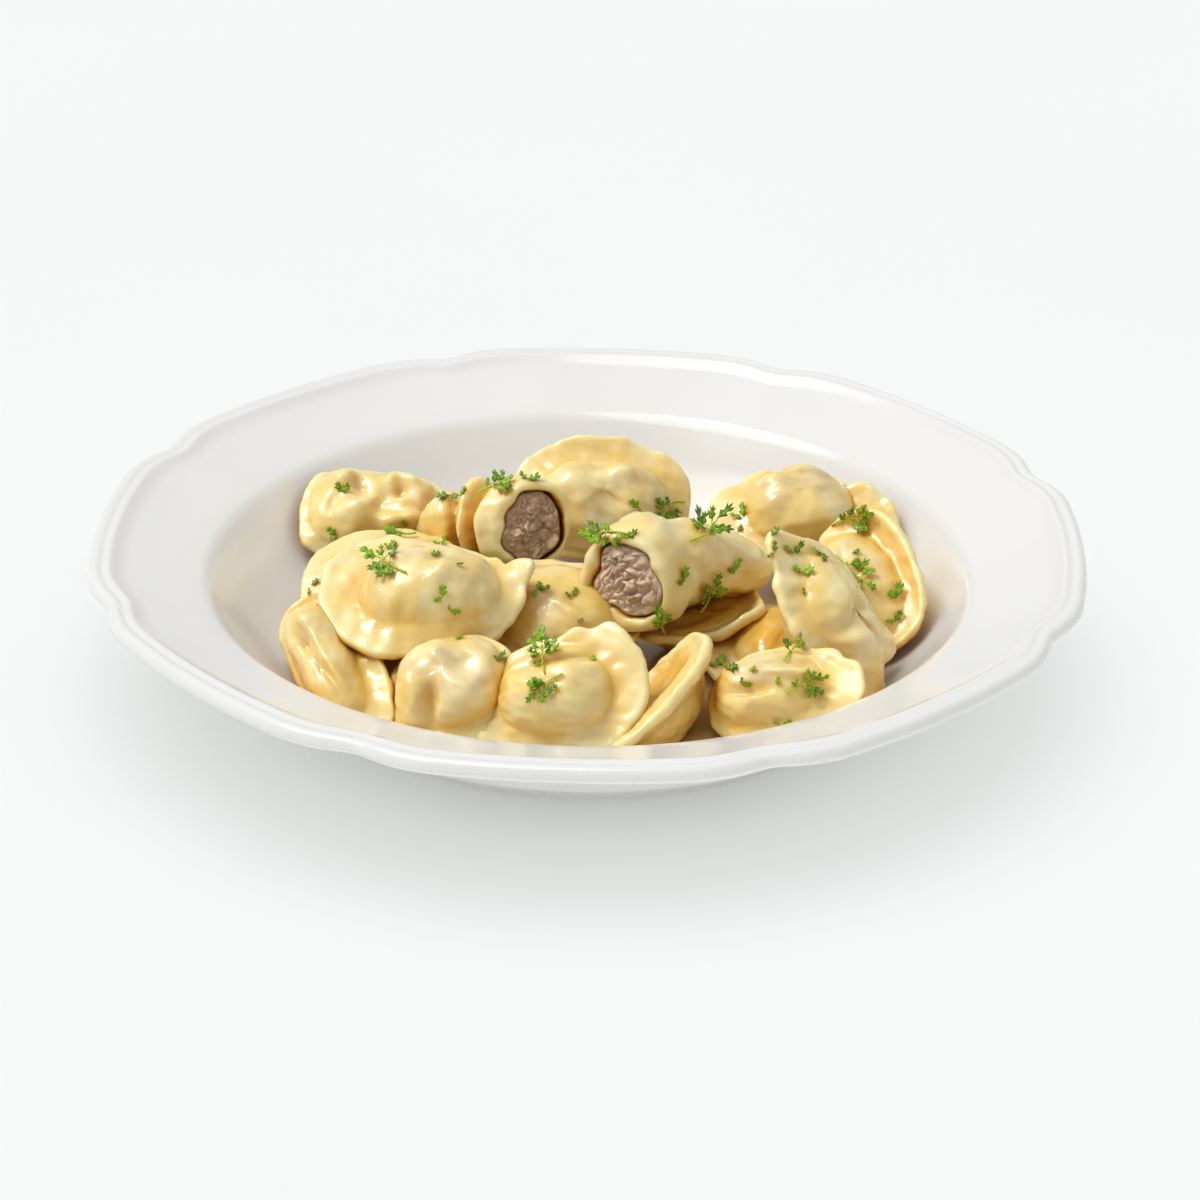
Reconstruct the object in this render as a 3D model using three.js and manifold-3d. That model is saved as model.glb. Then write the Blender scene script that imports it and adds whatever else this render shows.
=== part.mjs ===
// A deep white plate with a scalloped rim, filled with boiled pelmeni and chopped parsley.
// Millimetres. +Z up, origin at the middle of the plate's foot, the shown side faces -Y.
import * as THREE from 'three';
import Module from 'manifold-3d';

const wasm = await Module();
wasm.setup();

// ---- driving sizes ----
const PLATE_RADIUS = 120;
const PLATE_HEIGHT = 36;
const LOBES = 8;
const FIRST_NOTCH = 19.6;         // degrees from +X
const NOTCH_DEPTH = 2.0;
const SHOULDER = 1.0;
const LOBE_FLAT = 0.6;
const SCALLOP_FROM = 96;          // radius where the outline starts to follow the scallops
const SCALLOP_FULL = 117;
const RIM_EDGE = 3.0;             // thickness of the pinched dough
const GAP = 0.35;                 // clear air between pieces that touch
const SPRIG_THICK = 0.7;
const EYE = [0, -815.7, 416.4];   // the shown side, from which the herbs are scattered
const DOUGH_DETAIL = 0.3;         // how far a face may move when small triangles are merged
const SPRIG_DETAIL = 0.05;
const NOTCH_SPREAD = 2.4;         // degrees, as are the next four
const SHOULDER_AT = 7.5;
const SHOULDER_SPREAD = 4;
const LOBE_SPREAD = 7;
const LOBE_STEPS = [-22.5, -14.5, -8, -3.6, 0, 3.6, 8, 14.5];
const FILLING_BULGE = 1.6;        // how far the middle of the cut mince stands out
const FILLING_GRAIN = 0.7;
const FLAKE_SUNK = 0.6;           // a flake reaches this far into its dumpling
const FLAKE_HIGH = 0.55;
const SPRIG_CLEAR = 0.5;          // air under a sprig

// Underside from the middle out, then over the rim and back down the bowl: [radius, height].
const LOW_PROFILE = [[60, 2.4], [62.5, 0], [67.5, 0], [70.5, 4], [76, 6], [84, 11.5], [91, 19.5],
  [97, 24], [113, 29.8], [119.3, 32.2]];
const TOP_PROFILE = [[120, 34], [118.3, 36], [116.7, 35.4], [115.2, 36], [113.3, 34.6], [94, 28],
  [92.5, 27.2], [86, 19], [79, 11.5], [72, 7.2], [64, 5.6]];
const LOW_MIDDLE = 2.2;
const TOP_MIDDLE = 5;

// One entry for each whole pelmen. `at` is the middle of its seam plane, `up` the plane's normal,
// `rimTo` the direction of its local y. rim: [degrees, width, lift]; soft: [degrees, how widely the dome
// runs out into the rim]; thick: [degrees, times the usual edge]; dish: how far the upper face is
// hollowed; marks: [x, y, rx, ry, turn, depth].
const WHOLE = [
  { name: 'pelmen_front', at: [-7, -49, 16.7], up: [-0.2, -0.66, 0.72], rimTo: [0, 0.7, 0.7],
    halfLong: 13.5, halfWide: 10.5, rise: 8.5, drop: 6, seed: 22, lump: 0.35, ruffle: 0.35,
    wobble: 0.4, square: 2.3,
    soft: [[0, 0.2], [45, 0.4], [90, 0.7], [180, 1.4], [250, 1.4], [320, 0.4]],
    thick: [[0, 1.25], [60, 1.2], [120, 1.0], [200, 1.1], [330, 1.3]],
    rim: [[0, 7, 0.4], [30, 8, 1], [52, 8.5, 1], [72, 5.5, 0.5], [100, 2.8, 0], [150, 2.4, 0],
      [190, 4, 0], [207, 7.5, 0], [222, 5, 0], [240, 3, 0], [280, 2.4, 0], [325, 6, 0.4]],
    marks: [[2.5, 7.0, 9, 1.5, 12, -3.0], [4.5, 10.2, 8, 2.0, 10, 1.4], [-7, 0, 4, 6, 15, 1.0],
      [4, -2, 5, 4, 0, 0.7]] },
  { name: 'pelmen_left_top', at: [-37.8, -18, 26.3], up: [-0.02, -0.3, 0.95], rimTo: [0, 1, 0.3],
    halfLong: 16.5, halfWide: 12.5, rise: 9.5, drop: 7, seed: 18, arch: 0.004, ruffle: 0.3,
    wobble: 0.4, lump: 0.5,
    soft: [[0, 2.4], [60, 1.2], [110, 0.5], [150, 0.1], [190, 0.1], [225, 0.8], [280, 2.0]],
    rim: [[0, 5.5, 2.5], [11, 7.5, 7], [30, 3, 2], [55, 3, 0.5], [90, 5.5, 0], [120, 8.5, 0],
      [150, 9.5, 0], [180, 9, 0], [205, 7.5, -1], [235, 7, -1.5], [270, 5, -2], [315, 3.5, -1.5],
      [345, 4, 0]],
    marks: [[-8, 2, 3, 6, 20, 1.2], [3, 3, 5, 2, -20, -0.9], [6, -3, 4, 3, 0, 0.8]] },
  { name: 'pelmen_draped', at: [58.3, -24.8, 25.6], up: [0.55, -0.5, 0.67],
    rimTo: [0.664, 0.75, 0.015], halfLong: 15.5, halfWide: 9.5, rise: 5.5, drop: 12, seed: 17,
    square: 2.1, lump: 0.25, ruffle: 0.15, wobble: 0.2,
    body: [[0, 1], [160, 1], [213, 0.86], [262, 1], [330, 1]],
    soft: [[0, 2.4], [52, 2.2], [90, 1.6], [180, 1.6], [230, 1.4], [290, 1.2]],
    thick: [[0, 1], [90, 1], [195, 1.3], [260, 1.3], [310, 1]],
    rim: [[0, 4.5, 0], [27, 1.4, 0], [52, 5.6, -0.5], [86, 2.4, -0.5], [137, 3.2, 0], [171, 4.6, 1],
      [192, 11, 1.0], [218, 3.4, 1.0], [258, 2.0, 1.0], [291, 4, 0.6], [313, 5.2, 0], [343, 8.6, -1]],
    marks: [[3, -3, 2.6, 7, 20, -0.9], [-6, 3, 6, 3, -30, 0.7]] },
  { name: 'pelmen_front_folded', at: [15.2, -44.5, 13.5], up: [-0.55, 0.07, 0.83],
    rimTo: [0.63, -0.61, 0.47], halfLong: 15.8, halfWide: 8, rise: 0.6, drop: 10.5, seed: 23,
    ruffle: 0.15, wobble: 0.2, lump: 0.1, dish: 3.0,
    soft: [[0, 0.9], [90, 0.9], [180, 0.9], [270, 0.9]],
    thick: [[0, 1.1], [90, 1.45], [150, 1.35], [180, 1.5], [215, 1.0], [300, 0.9]],
    rim: [[0, 4, 0.5], [60, 3.4, 1.0], [90, 3.2, 1.4], [130, 3.6, 1.8], [165, 4.5, 2.2], [180, 5, 2.4],
      [200, 3.5, 1.5], [240, 4, 0], [270, 4, 0], [310, 4, 0]] },
  { name: 'pelmen_front_right', at: [42, -44.5, 15.5], up: [-0.36, -0.48, 0.8], rimTo: [0, 1, 0.5],
    halfLong: 14, halfWide: 9.5, rise: 7.5, drop: 8, seed: 24, lump: 0.5, ruffle: 0.2, wobble: 0.3,
    soft: [[0, 0.7], [90, 1.2], [180, 0.8], [290, 1.2], [340, 0.7]],
    rim: [[0, 9, 1.2], [20, 5, 0.5], [50, 2.5, 0], [120, 1.5, 0], [180, 1.5, 0], [225, 2.5, 0],
      [255, 4, -0.5], [290, 6.5, -1], [325, 8.5, -0.5], [347, 10, 0.8]],
    marks: [[9, -0.5, 7, 1.4, -4, 2.4], [9, 4.0, 5, 2.2, 0, -2.4], [-3, -2.6, 6, 1.2, -14, -2.4],
      [-8, 5, 4, 3, 0, 1.2], [0, -5.5, 6, 2.2, 10, 1.2]] },
  { name: 'pelmen_front_left', at: [-31.5, -41, 14.5], up: [-0.25, -0.55, 0.8], rimTo: [0, 1, 0.5],
    halfLong: 13.5, halfWide: 12, rise: 9, drop: 9, seed: 21, square: 2.5, lump: 0.3, ruffle: 0.3,
    soft: [[0, 1.2], [180, 1.2]],
    rim: [[0, 0.8, 0], [90, 0.8, 0], [180, 1.5, 0], [215, 5, 0], [250, 3, 0], [290, 3, 0]],
    marks: [[-4.5, -6.5, 3.2, 2.6, -35, -4.6], [4.5, 3, 3, 8, 12, -1.1], [-9, -1, 2.6, 7, 20, 2.0],
      [6.5, -6, 4, 5, 0, 1.0], [-1.5, 4, 2.4, 6, 25, 1.3], [-9, -9, 3, 2.5, 0, 1.5]] },
  { name: 'pelmen_left_edge', at: [-61.2, -29.8, 14.8], up: [-0.36, -0.68, 0.64],
    rimTo: [0.78, 0.05, 0.62], halfLong: 17, halfWide: 7, rise: 7.5, drop: 4, seed: 20, lump: 0.5,
    ruffle: 0.3, wobble: 0.3, square: 2.5,
    body: [[0, 1], [90, 1], [180, 1.05], [215, 1.2], [270, 1.05], [320, 1.05]],
    soft: [[0, 1.2], [90, 2.2], [150, 1.6], [270, 1.5]],
    thick: [[0, 0.9], [90, 0.85], [170, 1.5], [230, 1.2]],
    rim: [[0, 4, 0], [20, 6, -0.5], [45, 4, 0], [90, 2.6, 0.3], [130, 3, 0.5], [160, 3, 1],
      [180, 2.4, 1], [215, 1.2, 0], [270, 0.8, 0], [330, 1.5, 0]],
    marks: [[-5, -1.5, 3.0, 1.8, 20, -2.0], [-12, 0, 4, 5, 0, 2.0], [7, -4, 5, 2.5, 20, 1.2]] },
  { name: 'pelmen_right', at: [67.5, 4.5, 19], up: [-0.45, -0.5, 0.74], rimTo: [0.9, 0.1, 0.6],
    halfLong: 16, halfWide: 9.5, rise: 7.5, drop: 11, seed: 16, ruffle: 0.4, lump: 0.8,
    thick: [[0, 1], [90, 1.35], [180, 1.1], [270, 1]],
    soft: [[0, 1.2], [90, 0.4], [180, 1.2], [270, 1.5]],
    rim: [[0, 5, 2], [30, 5, 2.5], [60, 4.5, 2.5], [90, 5, 3], [120, 5.5, 3.5], [160, 5, 3],
      [185, 4, 1], [215, 1, 0], [270, 0.8, 0]],
    marks: [[2, 0, 4, 3, 0, -1.4], [-5, 2, 4, 3, 30, 1.4], [6, -2, 5, 3, 0, 1.2]] },
  { name: 'pelmen_back_right', at: [53, 39, 22.6], up: [0.1, -0.4, 0.92], rimTo: [0, 1, 0.3],
    halfLong: 14, halfWide: 11.5, rise: 10, drop: 11, seed: 15, square: 2.5, lump: 0.35,
    soft: [[0, 0.8], [90, 0.7], [180, 1.6], [225, 0.5], [280, 0.8]],
    rim: [[0, 1.5, 0], [60, 2, 1], [110, 2.6, 0.6], [150, 4, 0], [175, 7.5, -1], [192, 10.5, -1.5],
      [212, 9, -1], [235, 6.5, -0.5], [260, 5, 0], [300, 4, 0]],
    marks: [[0.5, 10.5, 6.5, 4.0, 0, 3.4], [0, 5.2, 7, 1.4, 0, -0.9], [-9, 4, 3.5, 3, 0, 1.2]] },
  { name: 'pelmen_back', at: [3, 53, 19.6], up: [0.05, -0.72, 0.7], rimTo: [0.0, 0.7, 0.72],
    halfLong: 16.5, halfWide: 10.5, rise: 10, drop: 9, body: [[0, 1], [90, 1], [180, 1], [270, 1.3]],
    seed: 13, arch: 0.006, square: 2.5, soft: [[0, 2.0], [90, 1.2], [180, 2.0], [270, 1.0]],
    rim: [[0, 6, 0], [50, 6, 1], [90, 6.3, 1.5], [130, 6.5, 1], [180, 6, 0], [270, 0.8, 0]],
    marks: [[-1.5, 7.5, 3, 2.6, 0, -1.5], [6, 6, 5, 3.5, 0, 1.4], [-8, 3, 4, 5, 0, 1.0]] },
  { name: 'pelmen_back_left', at: [-54, 42.5, 20], up: [0.1, -0.45, 0.9], rimTo: [0, 1, 0.3],
    halfLong: 17, halfWide: 12, rise: 8.5, drop: 10, square: 3.2, seed: 11, lump: 0.8, ruffle: 0.5,
    rim: [[0, 1.2, 0], [60, 1.5, 0], [120, 2, 0], [170, 1.5, 0], [215, 2, -1], [270, 0.8, 0]],
    marks: [[-1.3, 0, 4.5, 2.0, 15, -3.4], [4.2, -6, 1.8, 3.6, 0, -3.6], [9.5, -7, 4.5, 2.4, 10, 2.6],
      [9, 5.5, 3.6, 3.0, 0, 2.8], [-9, 6, 3.6, 3, 0, 2.4], [-5.5, -5, 3.4, 2.4, 0, 2.0],
      [3.5, 3, 1.8, 5, 20, -2.2], [-12.5, 0, 1.8, 4, 0, -2.0], [-3, 9, 2, 3, 0, -1.8]] },
  { name: 'pelmen_left_under', covered: true, at: [-48, 8, 20.5], up: [-0.1, -0.25, 0.96],
    rimTo: [0, 1, 0.3], halfLong: 15, halfWide: 12, rise: 6, drop: 12, seed: 19,
    soft: [[0, 2], [180, 1.6]],
    rim: [[0, 4, 0], [60, 5, 0], [90, 5.5, 0.5], [122, 7.5, 0.5], [155, 6.5, 0], [180, 6.5, 0],
      [205, 6, 0], [235, 4, 0], [270, 1, 0]] },
  { name: 'pelmen_middle', covered: true, at: [-8.5, -10, 18], up: [0.0, -0.3, 0.95],
    rimTo: [0, 1, 0.3], halfLong: 17.5, halfWide: 14.5, rise: 8, drop: 11, seed: 25,
    soft: [[0, 1.6], [180, 1.6]], rim: [[0, 3, 0], [90, 4, 0], [180, 3, 0], [270, 1.5, 0]],
    marks: [[3, -6, 8, 2, -30, 1.4], [-6, -7, 5, 3, 40, -1.2]] },
  { name: 'pelmen_under_right', covered: true, at: [24.5, -1, 15], up: [-0.05, -0.3, 0.95],
    rimTo: [0, 1, 0.3], halfLong: 12, halfWide: 9, rise: 1.5, drop: 7, seed: 29, dish: 2.5,
    soft: [[0, 1.0], [180, 1.0]], thick: [[0, 1.2], [90, 1], [270, 1.4], [335, 1.7]],
    rim: [[0, 4, 4], [60, 2, 0], [150, 2, 0], [200, 3, 1], [240, 4, 3.5], [280, 4.5, 4.2],
      [305, 4, 4.5], [325, 4.5, 5.5], [342, 6, 5.5]],
    marks: [[0, -5, 6, 2, 20, -1.5]] },
  { name: 'pelmen_right_low', covered: true, at: [49, -12.5, 11.5], up: [0.1, -0.3, 0.95],
    rimTo: [0, 1, 0.3], halfLong: 14.5, halfWide: 13.5, rise: 8, drop: 8, seed: 26,
    soft: [[0, 1.8], [180, 1.8]],
    rim: [[0, 4, 0], [90, 3, 0], [160, 5, 1], [200, 7, 1.5], [235, 3, 0], [270, 1, 0], [305, 7, -1]] },
  { name: 'pelmen_right_corner', covered: true, at: [65, 33.5, 20], up: [-0.15, -0.45, 0.88],
    rimTo: [0, 1, 0.3], halfLong: 9, halfWide: 7, rise: 2, drop: 7, seed: 27, ruffle: 0.3,
    soft: [[0, 1.2], [180, 1.2]],
    rim: [[0, 4, 0], [40, 5, 1.5], [75, 7, 2.5], [100, 5.5, 1.5], [140, 2, 0], [180, 1, 0],
      [270, 1, 0], [330, 3, 0]] },
  { name: 'pelmen_left_low', covered: true, at: [-43, -20.5, 11.5], up: [0.0, -0.1, 0.99],
    rimTo: [0, 1, 0], halfLong: 13, halfWide: 12, rise: 6, drop: 5, seed: 28,
    rim: [[0, 2, 0], [90, 3, 0], [180, 2, 0], [270, 1, 0]] },
];

// The two that are cut across: `at` is the middle of the cut, `axis` runs from it into the piece.
const CUT = [
  { name: 'pelmen_cut_right', at: [8.5, -15.5, 30], axis: [0.45, 0.82, -0.14], up: [0.05, 0, 1],
    long: 44, halfWide: 11.8, halfHigh: 12.6, curl: 0.026, seed: 32, blunt: 3.0, taper: 0.12,
    wall: [[0, 3.8], [45, 3.2], [90, 3.6], [135, 2.4], [180, 1.8], [225, 2.6], [270, 5.0], [315, 4.4]],
    bulges: [[75, 0.2, 50, 0.14, 3.2], [120, 0.5, 40, 0.15, 2.6], [270, 0.62, 70, 0.3, -3.6],
      [215, 0.2, 35, 0.2, 1.5], [335, 0.02, 40, 0.12, 1.8], [45, 0.0, 20, 0.08, 1.0],
      [270, 0.0, 25, 0.08, 0.8], [300, 0.02, 18, 0.06, -0.9]] },
  { name: 'pelmen_cut_left', at: [-14.5, 18.5, 28.6], axis: [-0.42, 0.84, -0.32], up: [0, 0, 1],
    long: 35, halfWide: 10.8, halfHigh: 12.2, curl: -0.038, seed: 31, blunt: 3.0,
    wall: [[0, 3.6], [35, 3.0], [70, 3.4], [110, 2.8], [150, 3.0], [180, 2.2], [215, 2.0], [250, 2.8],
      [290, 2.6], [330, 2.8]],
    pleats: [[0.36, 0.08, -2.6], [0.66, 0.07, -2.4]],
    bulges: [[180, 0.16, 55, 0.13, 3.6], [340, 0.2, 45, 0.12, 1.6], [0, 0.5, 50, 0.12, 2.0],
      [150, 0.0, 22, 0.08, 1.6], [215, 0.02, 20, 0.08, -1.2], [60, 0.02, 20, 0.08, -1.0]] },
];

// The pieces in the order they keep their shape: each later one gives way to those before it.
const KEPT_FIRST = [
  'pelmen_front', 'pelmen_left_top', 'pelmen_cut_right', 'pelmen_draped', 'pelmen_cut_left',
  'pelmen_front_folded', 'pelmen_front_right', 'pelmen_front_left', 'pelmen_left_edge',
  'pelmen_right', 'pelmen_back_right', 'pelmen_back', 'pelmen_back_left', 'pelmen_left_under',
  'pelmen_middle', 'pelmen_under_right', 'pelmen_right_low', 'pelmen_right_corner', 'pelmen_left_low',
];

// Parsley as seen from EYE, the sprigs and then the small flakes: [across, up, radius, turn].
const SPRIGS = [
  [-48.1, -7.9, 5.0, 30], [-22.5, 9.4, 5.0, 80], [-10.8, -30.2, 5.6, 100], [-10.2, -37, 4.6, 200],
  [6.5, -1.5, 5.0, 10], [18.5, 2.2, 4.6, 60], [27.5, -0.6, 6.0, 20], [28.7, -15.3, 4.4, 130],
  [63.9, -9.3, 5.6, 320], [63.2, 3.2, 5.4, 0], [52.1, -36.7, 5.2, 10], [-45.2, -1, 3.8, 40],
  [49, -28.5, 3.8, 60], [18, -21.3, 3.6, 100],
];
const FLAKES = [
  [-59.2, 9.9, 1.9, 20], [-62, -0.3, 1.8, 140], [-35.3, -3.2, 2.0, 70], [-35.3, -14.5, 2.0, 90],
  [-32.1, -19.4, 1.8, 0], [-10.7, -13.8, 1.8, 10], [-3.4, -14.6, 1.7, 60], [-31.2, -25.9, 1.4, 30],
  [-20.8, -30.4, 2.0, 70], [1.1, -30.7, 1.3, 90], [-13.6, 12.9, 2.3, 20], [10.7, 6.9, 2.2, 150],
  [10.3, -0.5, 2.2, 40], [37.1, 5.7, 2.4, 100], [35.7, -7.2, 2.0, 80], [22.9, -9.7, 2.2, 100],
  [44.7, -3.1, 1.9, 90], [50.2, -3.5, 2.2, 50], [55, -4.4, 2.2, 170], [52.8, -9, 2.0, 20],
  [74.5, -13.4, 2.3, 80], [74.8, -19.6, 1.9, 60], [35, -32.4, 2.0, 20], [38.4, -36.3, 1.7, 0],
  [48.2, -45.7, 2.0, 30], [32, -30.8, 1.8, 60],
];

// ---- materials ----
const porcelain = new THREE.MeshStandardMaterial({ color: 0xf2f1ec, roughness: 0.15, metalness: 0 });
const dough = new THREE.MeshStandardMaterial({ color: 0xe9cf97, roughness: 0.4, metalness: 0 });
const mince = new THREE.MeshStandardMaterial({ color: 0x7d6355, roughness: 0.7, metalness: 0 });
const herb = new THREE.MeshStandardMaterial({ color: 0x3f8a1f, roughness: 0.5, metalness: 0 });

// ---- small helpers ----
const rad = (deg) => (deg * Math.PI) / 180;
const clamp = (v, lo, hi) => Math.min(Math.max(v, lo), hi);
const smooth = (t) => t * t * (3 - 2 * t);
const unit = (v) => new THREE.Vector3(...v).normalize();

// A repeatable number from 0 to 1.
function chance(seed, k) {
  const value = Math.sin(seed * 12.9898 + k * 78.233) * 43758.5453;
  return value - Math.floor(value);
}

// One column of the stops at an angle in degrees, joined smoothly all the way round.
function around(deg, stops, item) {
  const turn = ((deg % 360) + 360) % 360;
  let i = stops.length - 1;
  while (i >= 0 && stops[i][0] > turn) i -= 1;
  const from = i < 0 ? stops[stops.length - 1] : stops[i];
  const to = i === stops.length - 1 ? stops[0] : stops[i + 1];
  const start = i < 0 ? from[0] - 360 : from[0];
  const end = to[0] > start ? to[0] : to[0] + 360;
  const blend = (1 - Math.cos((Math.PI * (turn - start)) / (end - start))) / 2;
  return from[item] * (1 - blend) + to[item] * blend;
}

// Bends a pair of coordinates round an arc; the ends go toward minus the second.
function bent(along, out, k) {
  if (Math.abs(k) < 1e-6) return [along, out];
  const turn = along * k;
  return [(1 / k + out) * Math.sin(turn), (1 / k + out) * Math.cos(turn) - 1 / k];
}

// Uneven swelling of boiled dough: a sum of slanted waves.
function lumps(x, y, seed, count = 4, short = 8, long = 17) {
  let total = 0;
  for (let i = 0; i < count; i += 1) {
    const way = 2 * Math.PI * chance(seed, 3 * i + 1);
    const size = short + (long - short) * chance(seed, 3 * i + 2);
    const phase = 2 * Math.PI * chance(seed, 3 * i + 3);
    total += Math.sin(((x * Math.cos(way) + y * Math.sin(way)) * 2 * Math.PI) / size + phase);
  }
  return total / Math.sqrt(count);
}

// Dents and bulges in one face.
function dimples(x, y, marks) {
  let total = 0;
  for (const [cx, cy, rx, ry, turn, amount] of marks) {
    const c = Math.cos(rad(turn));
    const s = Math.sin(rad(turn));
    const u = (x - cx) * c + (y - cy) * s;
    const v = -(x - cx) * s + (y - cy) * c;
    total += amount * Math.exp(-((u / rx) ** 2) - (v / ry) ** 2);
  }
  return total;
}

// Triangles of a closed solid made of rings between a first and a last point.
function ringFaces(rows, seg) {
  const faces = [];
  const last = 1 + (rows - 1) * seg;
  const end = 1 + rows * seg;
  for (let j = 0; j < seg; j += 1) {
    const k = (j + 1) % seg;
    faces.push([0, 1 + j, 1 + k]);
    for (let i = 0; i < rows - 1; i += 1) {
      const a = 1 + i * seg;
      const b = a + seg;
      faces.push([a + j, b + j, b + k], [a + j, b + k, a + k]);
    }
    faces.push([last + j, end, last + k]);
  }
  return faces;
}

// Moves every point outward along its own normal.
function grown(points, faces, by) {
  const normals = points.map(() => new THREE.Vector3());
  for (const [a, b, c] of faces) {
    const n = new THREE.Vector3().subVectors(points[b], points[a])
      .cross(new THREE.Vector3().subVectors(points[c], points[a]));
    for (const k of [a, b, c]) normals[k].add(n);
  }
  return points.map((p, k) => p.clone().addScaledVector(normals[k].normalize(), by));
}

function manifoldOf(points, faces) {
  return new wasm.Manifold(new wasm.Mesh({
    numProp: 3,
    vertProperties: new Float32Array(points.flatMap((p) => [p.x, p.y, p.z])),
    triVerts: new Uint32Array(faces.flat()),
  }));
}

// A closed mesh as a solid, facing out, with a second one grown by the gap.
function solids({ points, faces }, gap) {
  let turned = faces;
  if (manifoldOf(points, faces).volume() < 0) turned = faces.map(([a, b, c]) => [a, c, b]);
  return [manifoldOf(points, turned), manifoldOf(grown(points, turned, gap), turned)];
}

// The largest body of a cut solid.
function main(made) {
  return made.decompose().sort((p, q) => q.volume() - p.volume())[0];
}

function geometryOf(made) {
  const mesh = made.getMesh();
  const geometry = new THREE.BufferGeometry();
  const flat = [];
  for (let i = 0; i < mesh.numVert; i += 1) {
    flat.push(...mesh.vertProperties.slice(i * mesh.numProp, i * mesh.numProp + 3));
  }
  geometry.setAttribute('position', new THREE.Float32BufferAttribute(flat, 3));
  geometry.setIndex([...mesh.triVerts]);
  geometry.computeVertexNormals();
  return geometry;
}

function boxesMeet(p, q) {
  const a = p.boundingBox();
  const b = q.boundingBox();
  return [0, 1, 2].every((k) => a.min[k] <= b.max[k] && b.min[k] <= a.max[k]);
}

// ---- the plate ----
function scallop(deg) {
  const pitch = 360 / LOBES;
  const d = ((((deg - FIRST_NOTCH + pitch / 2) % pitch) + pitch) % pitch) - pitch / 2;
  const notch = -NOTCH_DEPTH * Math.exp(-((d / NOTCH_SPREAD) ** 2));
  const raised = SHOULDER * Math.exp(-(((Math.abs(d) - SHOULDER_AT) / SHOULDER_SPREAD) ** 2));
  const middle = -LOBE_FLAT * Math.exp(-(((Math.abs(d) - pitch / 2) / LOBE_SPREAD) ** 2));
  return (notch + raised + middle) / PLATE_RADIUS;
}

function plateMesh() {
  const angles = [];
  for (let lobe = 0; lobe < LOBES; lobe += 1) {
    for (const step of LOBE_STEPS) angles.push(FIRST_NOTCH + lobe * (360 / LOBES) + step);
  }
  const points = [new THREE.Vector3(0, 0, LOW_MIDDLE)];
  for (const [r, z] of [...LOW_PROFILE, ...TOP_PROFILE]) {
    const share = smooth(clamp((r - SCALLOP_FROM) / (SCALLOP_FULL - SCALLOP_FROM), 0, 1));
    for (const deg of angles) {
      const radius = r * (1 + scallop(deg) * share);
      points.push(new THREE.Vector3(radius * Math.cos(rad(deg)), radius * Math.sin(rad(deg)), z));
    }
  }
  points.push(new THREE.Vector3(0, 0, TOP_MIDDLE));
  return { points, faces: ringFaces(LOW_PROFILE.length + TOP_PROFILE.length, angles.length) };
}

// ---- a whole pelmen: a dome of filling each side of a pinched, wavy rim ----
const SHOWN = { seg: 19, top: [0.4, 0.7, 0.88, 1], low: [0.5, 0.85, 1] };
const COVERED = { seg: 12, top: [0.5, 0.85, 1], low: [0.6, 1] };
const SOFT = [[0, 0.9], [180, 0.9]];

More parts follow.
